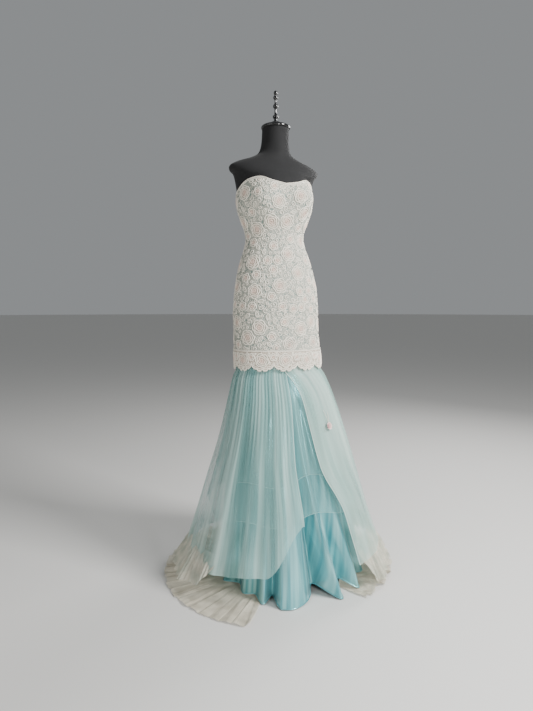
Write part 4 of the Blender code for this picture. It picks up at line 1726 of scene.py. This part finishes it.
@dataclass
class Flower:
    """A small cloth flower on the panel, with beaded stamens and two loose strands."""

    angle: float = 28.0
    height: float = 0.555
    radius: float = 0.013
    petals: int = 5
    stand_off: float = 0.0025
    bead: float = 0.0009
    beads: int = 9
    strand: float = 0.0012
    strands: tuple = ((-0.10, 0.056), (0.16, 0.047))

    def build(self) -> None:
        """Builds the petals, the stamens and the strands."""
        at = FIGURE.skirt(self.angle, self.height, -self.stand_off)
        side = FIGURE.skirt(self.angle + 1.0, self.height, -self.stand_off) - at
        up = FIGURE.skirt(self.angle, self.height + 0.01, -self.stand_off) - at
        side, up = side / np.linalg.norm(side), up / np.linalg.norm(up)
        out = np.cross(side, up)
        blossom = Shape()
        for layer, (size, rise) in enumerate(((1.0, 0.0015), (0.66, 0.0035))):
            for petal in range(self.petals):
                turn = 2 * math.pi * (petal + 0.5 * layer) / self.petals
                length = np.linspace(0.08, 1.0, 8)[:, None] * self.radius * size
                share = np.linspace(-1.0, 1.0, 9)
                width = 0.62 * self.radius * size * np.sin(np.linspace(0.25, 2.75, 8))[:, None]
                across = share * width
                lift = rise + 0.0035 * size * (length / self.radius) ** 2 + 0.0012 * share**2
                x = length * math.cos(turn) - across * math.sin(turn)
                y = length * math.sin(turn) + across * math.cos(turn)
                grid = at + x[..., None] * side + y[..., None] * up + lift[..., None] * out
                blossom.grid(grid, tint=np.broadcast_to(length / self.radius, grid.shape[:2]))
        made = blossom.build("blossom", Thread("petal_cloth", "#c98f92", "#ecd6d0", twist=300.0))
        heart = Shape()
        bows = np.linspace(-1.5, 1.5, 7)
        ball = lathe([(self.bead * math.sin(bow), self.bead * math.cos(bow)) for bow in bows], 0.0, 8)
        for bead in range(self.beads):
            turn = bead * 2.4
            reach = 0.0007 * math.sqrt(bead) * 1.6
            centre = at + side * reach * math.cos(turn) + up * reach * math.sin(turn) + out * 0.0055
            heart.grid(ball + centre, closed=True)
        hearts = heart.build("stamens", Solid("stamen_beads", "#e8dcc0", 0.35, coat=0.4))
        strands = Shape()
        for lean, length in self.strands:
            t = np.linspace(0.0, 1.0, 22)
            angles = self.angle + lean * 20 * t**1.4
            course = FIGURE.skirt(angles, self.height + length * t, -0.0035 - 0.003 * np.sin(3.1 * t))
            sweep(strands, course, np.tile(out, (22, 1)), self.strand, profile=ROUND)
        threads = strands.build("strands", Thread("strand_thread", "#e6dccb", "#e6dccb"))
        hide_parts("flower")


@dataclass
class Zip:
    """The centre-back zip: tape, coil teeth, slider and the pull that swings on it."""

    low: float = 0.9403
    high: float = 1.337
    pin: tuple[float, float, float] = (0.0, 0.12708, 1.327)
    tooth: float = 0.0024
    tape_half: float = 0.0029
    tape_inset: float = 0.0012
    coil_half: float = 0.0016
    coil_wire: float = 0.0011
    slider_half: float = 0.0040
    slider_reach: float = 0.0052
    bridge_wire: float = 0.0013
    pull_reach: float = 0.0100
    pull_half: float = 0.0024
    pull_face: float = 0.0006

    def line(self, heights: np.ndarray, inset: float) -> np.ndarray:
        """Points down the centre back."""
        return FIGURE.body(np.full(len(heights), 180.0), heights, inset)

    def build(self) -> None:
        """Builds the fixed parts and the pull."""
        heights = np.linspace(self.low, self.high, 60)
        spine = self.line(heights, self.tape_inset)
        across = np.linspace(self.tape_half, -self.tape_half, 5)
        tape = spine[:, None] + across[None, :, None] * np.array([1.0, 0.0, 0.0])
        weave = Solid("zip_tape_weave", "#c9c1ae", 0.8)
        tape_piece = Shape().grid(tape).build("zip_tape_strip", weave)
        teeth = Shape()
        count = round((self.high - self.low - 0.012) / self.tooth)
        for number in range(count):
            height = self.low + 0.004 + number * self.tooth
            middle = self.line(np.array([height]), 0.0006)[0]
            side = 1 if number % 2 else -1
            t = np.linspace(0.0, math.pi, 7)
            sideways = side * (self.coil_half * np.cos(t) + 0.0003)
            course = middle + np.stack([sideways, 0.0007 * np.sin(t), 0.0006 * np.sin(t / 2)], axis=-1)
            ups = np.tile(UPWARD, (7, 1))
            sweep(teeth, course, ups, self.coil_wire, profile=ROUND, taper=False)
        coil = teeth.build("zip_coil", Solid("zip_coil_plastic", "#d8d2c2", 0.4))
        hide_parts("zip_closed")
        self.build_slider()
        self.build_pull()

    def build_slider(self) -> None:
        """Builds the slider's waisted body with its bridge."""
        metal = Solid("zip_metal_bright", "#b9b3a6", 0.3, metallic=1.0)
        y = self.pin[1]
        around = np.linspace(0.0, 2 * math.pi, 16, endpoint=False)
        body = Shape()
        for depth, size in ((-0.0038, 1.0), (-0.0018, 0.92)):
            rows = []
            for t in np.linspace(-1.0, 1.0, 13):
                waist = self.slider_half - 0.0010 * (1 - t * t) ** 2
                half = waist * size * (1 - 0.25 * max(0.0, -t) ** 3)
                across = half * np.cos(around)
                deep = y + depth + 0.0006 * np.sin(around)
                high = np.full(16, self.pin[2] + self.slider_reach * t * size)
                rows.append(np.stack([across, deep, high], axis=-1))
            body.grid(np.array(rows), closed=True)
        t = np.linspace(0.0, math.pi, 12)
        arch = np.stack(
            [np.zeros(12), y - 0.0022 + 0.0030 * np.sin(t), self.pin[2] + 0.0034 * np.cos(t)], axis=-1
        )
        sideways = np.tile([1.0, 0.0, 0.0], (12, 1))
        sweep(body, arch, sideways, self.bridge_wire, profile=ROUND, taper=False)
        made = body.build("zip_slider_body", metal)
        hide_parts("zip_slider")

    def build_pull(self) -> None:
        """Builds the pull: a drop-shaped plate with one long slot through it."""
        metal = Solid("zip_pull_bright", "#c2bcae", 0.28, metallic=1.0)
        around = np.linspace(0.0, 2 * math.pi, 40, endpoint=False)
        level = np.zeros(40)
        middle = -self.pull_reach * 0.92
        taper = self.pull_half + 0.0006 * (0.5 - 0.5 * np.cos(around))
        ends = middle + self.pull_reach * np.cos(around)
        outline = np.stack([taper * np.sin(around), level, ends], axis=-1)
        hole = np.stack([0.0011 * np.sin(around), level, middle + 0.0072 * np.cos(around)], axis=-1)
        rim = outline * 0.97 + hole * 0.03
        rows = [
            ring + np.array(self.pin) + np.array([0.0, depth, 0.0])
            for ring, depth in (
                (hole, -self.pull_face),
                (rim, -self.pull_face),
                (outline, 0.0),
                (rim, self.pull_face),
                (hole, self.pull_face),
                (hole, -self.pull_face),
            )
        ]
        pull = Shape().grid(np.array(rows), closed=True).build("zip_pull_plate", metal, body=ZIP_TAB)
        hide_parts("zip_pull")


@dataclass
class Form:
    """The dress form: padded torso with armless shoulders, cap, finial, pole and base."""

    inset: float = 0.0023
    bottom: float = 0.795
    rounding: float = 0.006
    columns: int = 144
    level_top: float = 1.31
    neck_y: float = 0.004
    cap_foot: float = 1.5863
    finial_foot: float = 1.6043

    def torso(self) -> np.ndarray:
        """Grid of the torso, smooth through the sections of the body and the shoulders.

        Returns:
            Rows by columns of points.
        """
        angles = np.linspace(0.0, 360.0, self.columns, endpoint=False)
        turn = np.radians(angles)
        top = FIGURE.neckline(angles)
        low = self.bottom + self.rounding
        levels = [np.full(len(angles), z) for z in np.linspace(low, self.level_top, 15)]
        half_way = (self.level_top + top) / 2
        rings = [FIGURE.body(angles, z, self.inset) for z in (*levels, half_way, top)]
        for row in SHOULDERS:
            across = row.half_width * np.sin(turn)
            ahead = row.centre_y - row.half_depth * np.cos(turn)
            rings.append(np.stack([across, ahead, np.full(len(angles), row.height)], axis=-1))
        smooth = catmull(np.array(rings), 4)
        foot = smooth[0] * [1, 1, 0] + [0, 0, self.bottom]
        closing = [foot * [share, share, 1] for share in (0.02, 0.6, 0.93)]
        return np.concatenate([closing, smooth])

    def build(self) -> None:
        """Builds the form's parts from the base up."""
        jersey = Solid("form_jersey", "#060607", 0.85, nap=0.05, relief=0.0003)
        gloss = Solid("form_gloss", "#0a0a0b", 0.14, coat=0.7)
        steel = Solid("form_steel", "#3a3b3d", 0.32, metallic=1.0)
        torso = Shape().grid(self.torso(), closed=True).build("form_body", jersey)
        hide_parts("form_torso")
        cap_rows = np.array([(self.cap_foot + row.height, row.radius) for row in CAP])
        cap = Shape().grid(lathe(catmull(cap_rows, 3), self.neck_y, 72), closed=True)
        outline = np.array([(self.finial_foot + row.height, row.radius) for row in FINIAL])
        finial = Shape().grid(lathe(catmull(outline, 4), self.neck_y, 40), closed=True)
        stand = Shape().grid(lathe(POLE, 0.0, 40), closed=True)
        stand.grid(lathe(POLE_COLLAR, 0.0, 40), closed=True)
        base = Shape().grid(lathe(BASE, 0.0, 96), closed=True)
        for shape, name, node, slot, finish in (
            (cap, "form_neck_cap", "form_cap", "black_gloss", gloss),
            (finial, "form_turned_finial", "form_finial", "black_gloss", gloss),
            (stand, "form_stand_pole", "form_pole", "stand_steel", steel),
            (base, "form_stand_base", "form_base", "stand_steel", steel),
        ):
            made = shape.build(name, finish)
            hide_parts(node)


@dataclass
class Studio:
    """Pale floor, soft lights and the camera."""

    distance: float = 1.90
    azimuth: float = -22.0
    height: float = 0.966
    tilt: float = 5.46
    lens: float = 26.33
    shift: float = -0.0134
    sensor: float = 36.0
    floor: float = 60.0
    floor_drop: float = 0.0006
    aim: float = 0.85
    air: tuple[float, float, float, float] = (0.75, 0.78, 0.80, 1.0)
    air_strength: float = 0.36

    def light(self, row: Lamp) -> None:
        """Adds a soft light, aimed at the gown.

        Args:
            row: The light.
        """
        turn = math.radians(self.azimuth)
        right = Vector((math.cos(turn), math.sin(turn), 0.0))
        towards = Vector((math.sin(turn), -math.cos(turn), 0.0))
        lamp = bpy.data.lights.new(row.name, "AREA")
        lamp.energy = row.power
        lamp.size = row.size
        made = bpy.data.objects.new(row.name, lamp)
        made.location = right * row.side + towards * row.near + Vector((0.0, 0.0, row.up))
        way = Vector((0.0, 0.0, self.aim)) - made.location
        made.rotation_euler = way.to_track_quat("-Z", "Y").to_euler()
        bpy.context.scene.collection.objects.link(made)

    def build(self) -> None:
        """Builds the floor, the lights and the camera."""
        mesh = bpy.data.meshes.new("floor")
        turn = np.linspace(0.0, 2 * math.pi, 128, endpoint=False)
        rim = [(self.floor * math.cos(t), self.floor * math.sin(t), 0.0) for t in turn]
        mesh.from_pydata(rim, [], [tuple(range(128))])
        floor = bpy.data.objects.new("floor", mesh)
        floor.location.z = -self.floor_drop
        mesh.materials.append(Solid("pale_floor", "#d8d6d2", 0.7).material())
        bpy.context.scene.collection.objects.link(floor)
        for row in LAMPS:
            self.light(row)
        world = bpy.data.worlds.new("studio")
        world.use_nodes = True
        world.node_tree.nodes["Background"].inputs[0].default_value = self.air
        world.node_tree.nodes["Background"].inputs[1].default_value = self.air_strength
        bpy.context.scene.world = world
        turn = math.radians(self.azimuth)
        lens = bpy.data.cameras.new("camera")
        lens.lens = self.lens
        lens.sensor_width = self.sensor
        lens.shift_x = self.shift
        camera = bpy.data.objects.new("camera", lens)
        side, near = math.sin(turn), -math.cos(turn)
        camera.location = (self.distance * side, self.distance * near, self.height)
        camera.rotation_euler = (math.radians(90 - self.tilt), 0.0, turn)
        bpy.context.scene.collection.objects.link(camera)
        bpy.context.scene.camera = camera


def main() -> None:
    """Builds the scene from the form outwards."""
    logging.basicConfig(level=logging.INFO, format="%(message)s")
    for old in list(bpy.data.objects):
        bpy.data.objects.remove(old, do_unlink=True)
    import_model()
    Form().build()
    lace = Lace()
    Sheath().build(lace)
    Border().build(lace)
    thread = Thread("lace_cord", "#efe9da", "#e6c8b8")
    ground = Thread("lace_stitching", "#a5a898", "#c4ad9d", twist=2200.0)
    for side in Side:
        for shapes, kind, finish in ((lace.fills, "fill", ground), (lace.cords, "cords", thread)):
            made = shapes[side].build(f"lace_{kind}_{side.value}", finish)
    satin = Satin()
    satin.build()
    Net().build(satin)
    Tulle().build()
    Flower().build()
    Zip().build()
    Studio().build()


if __name__ == "__main__":
    main()
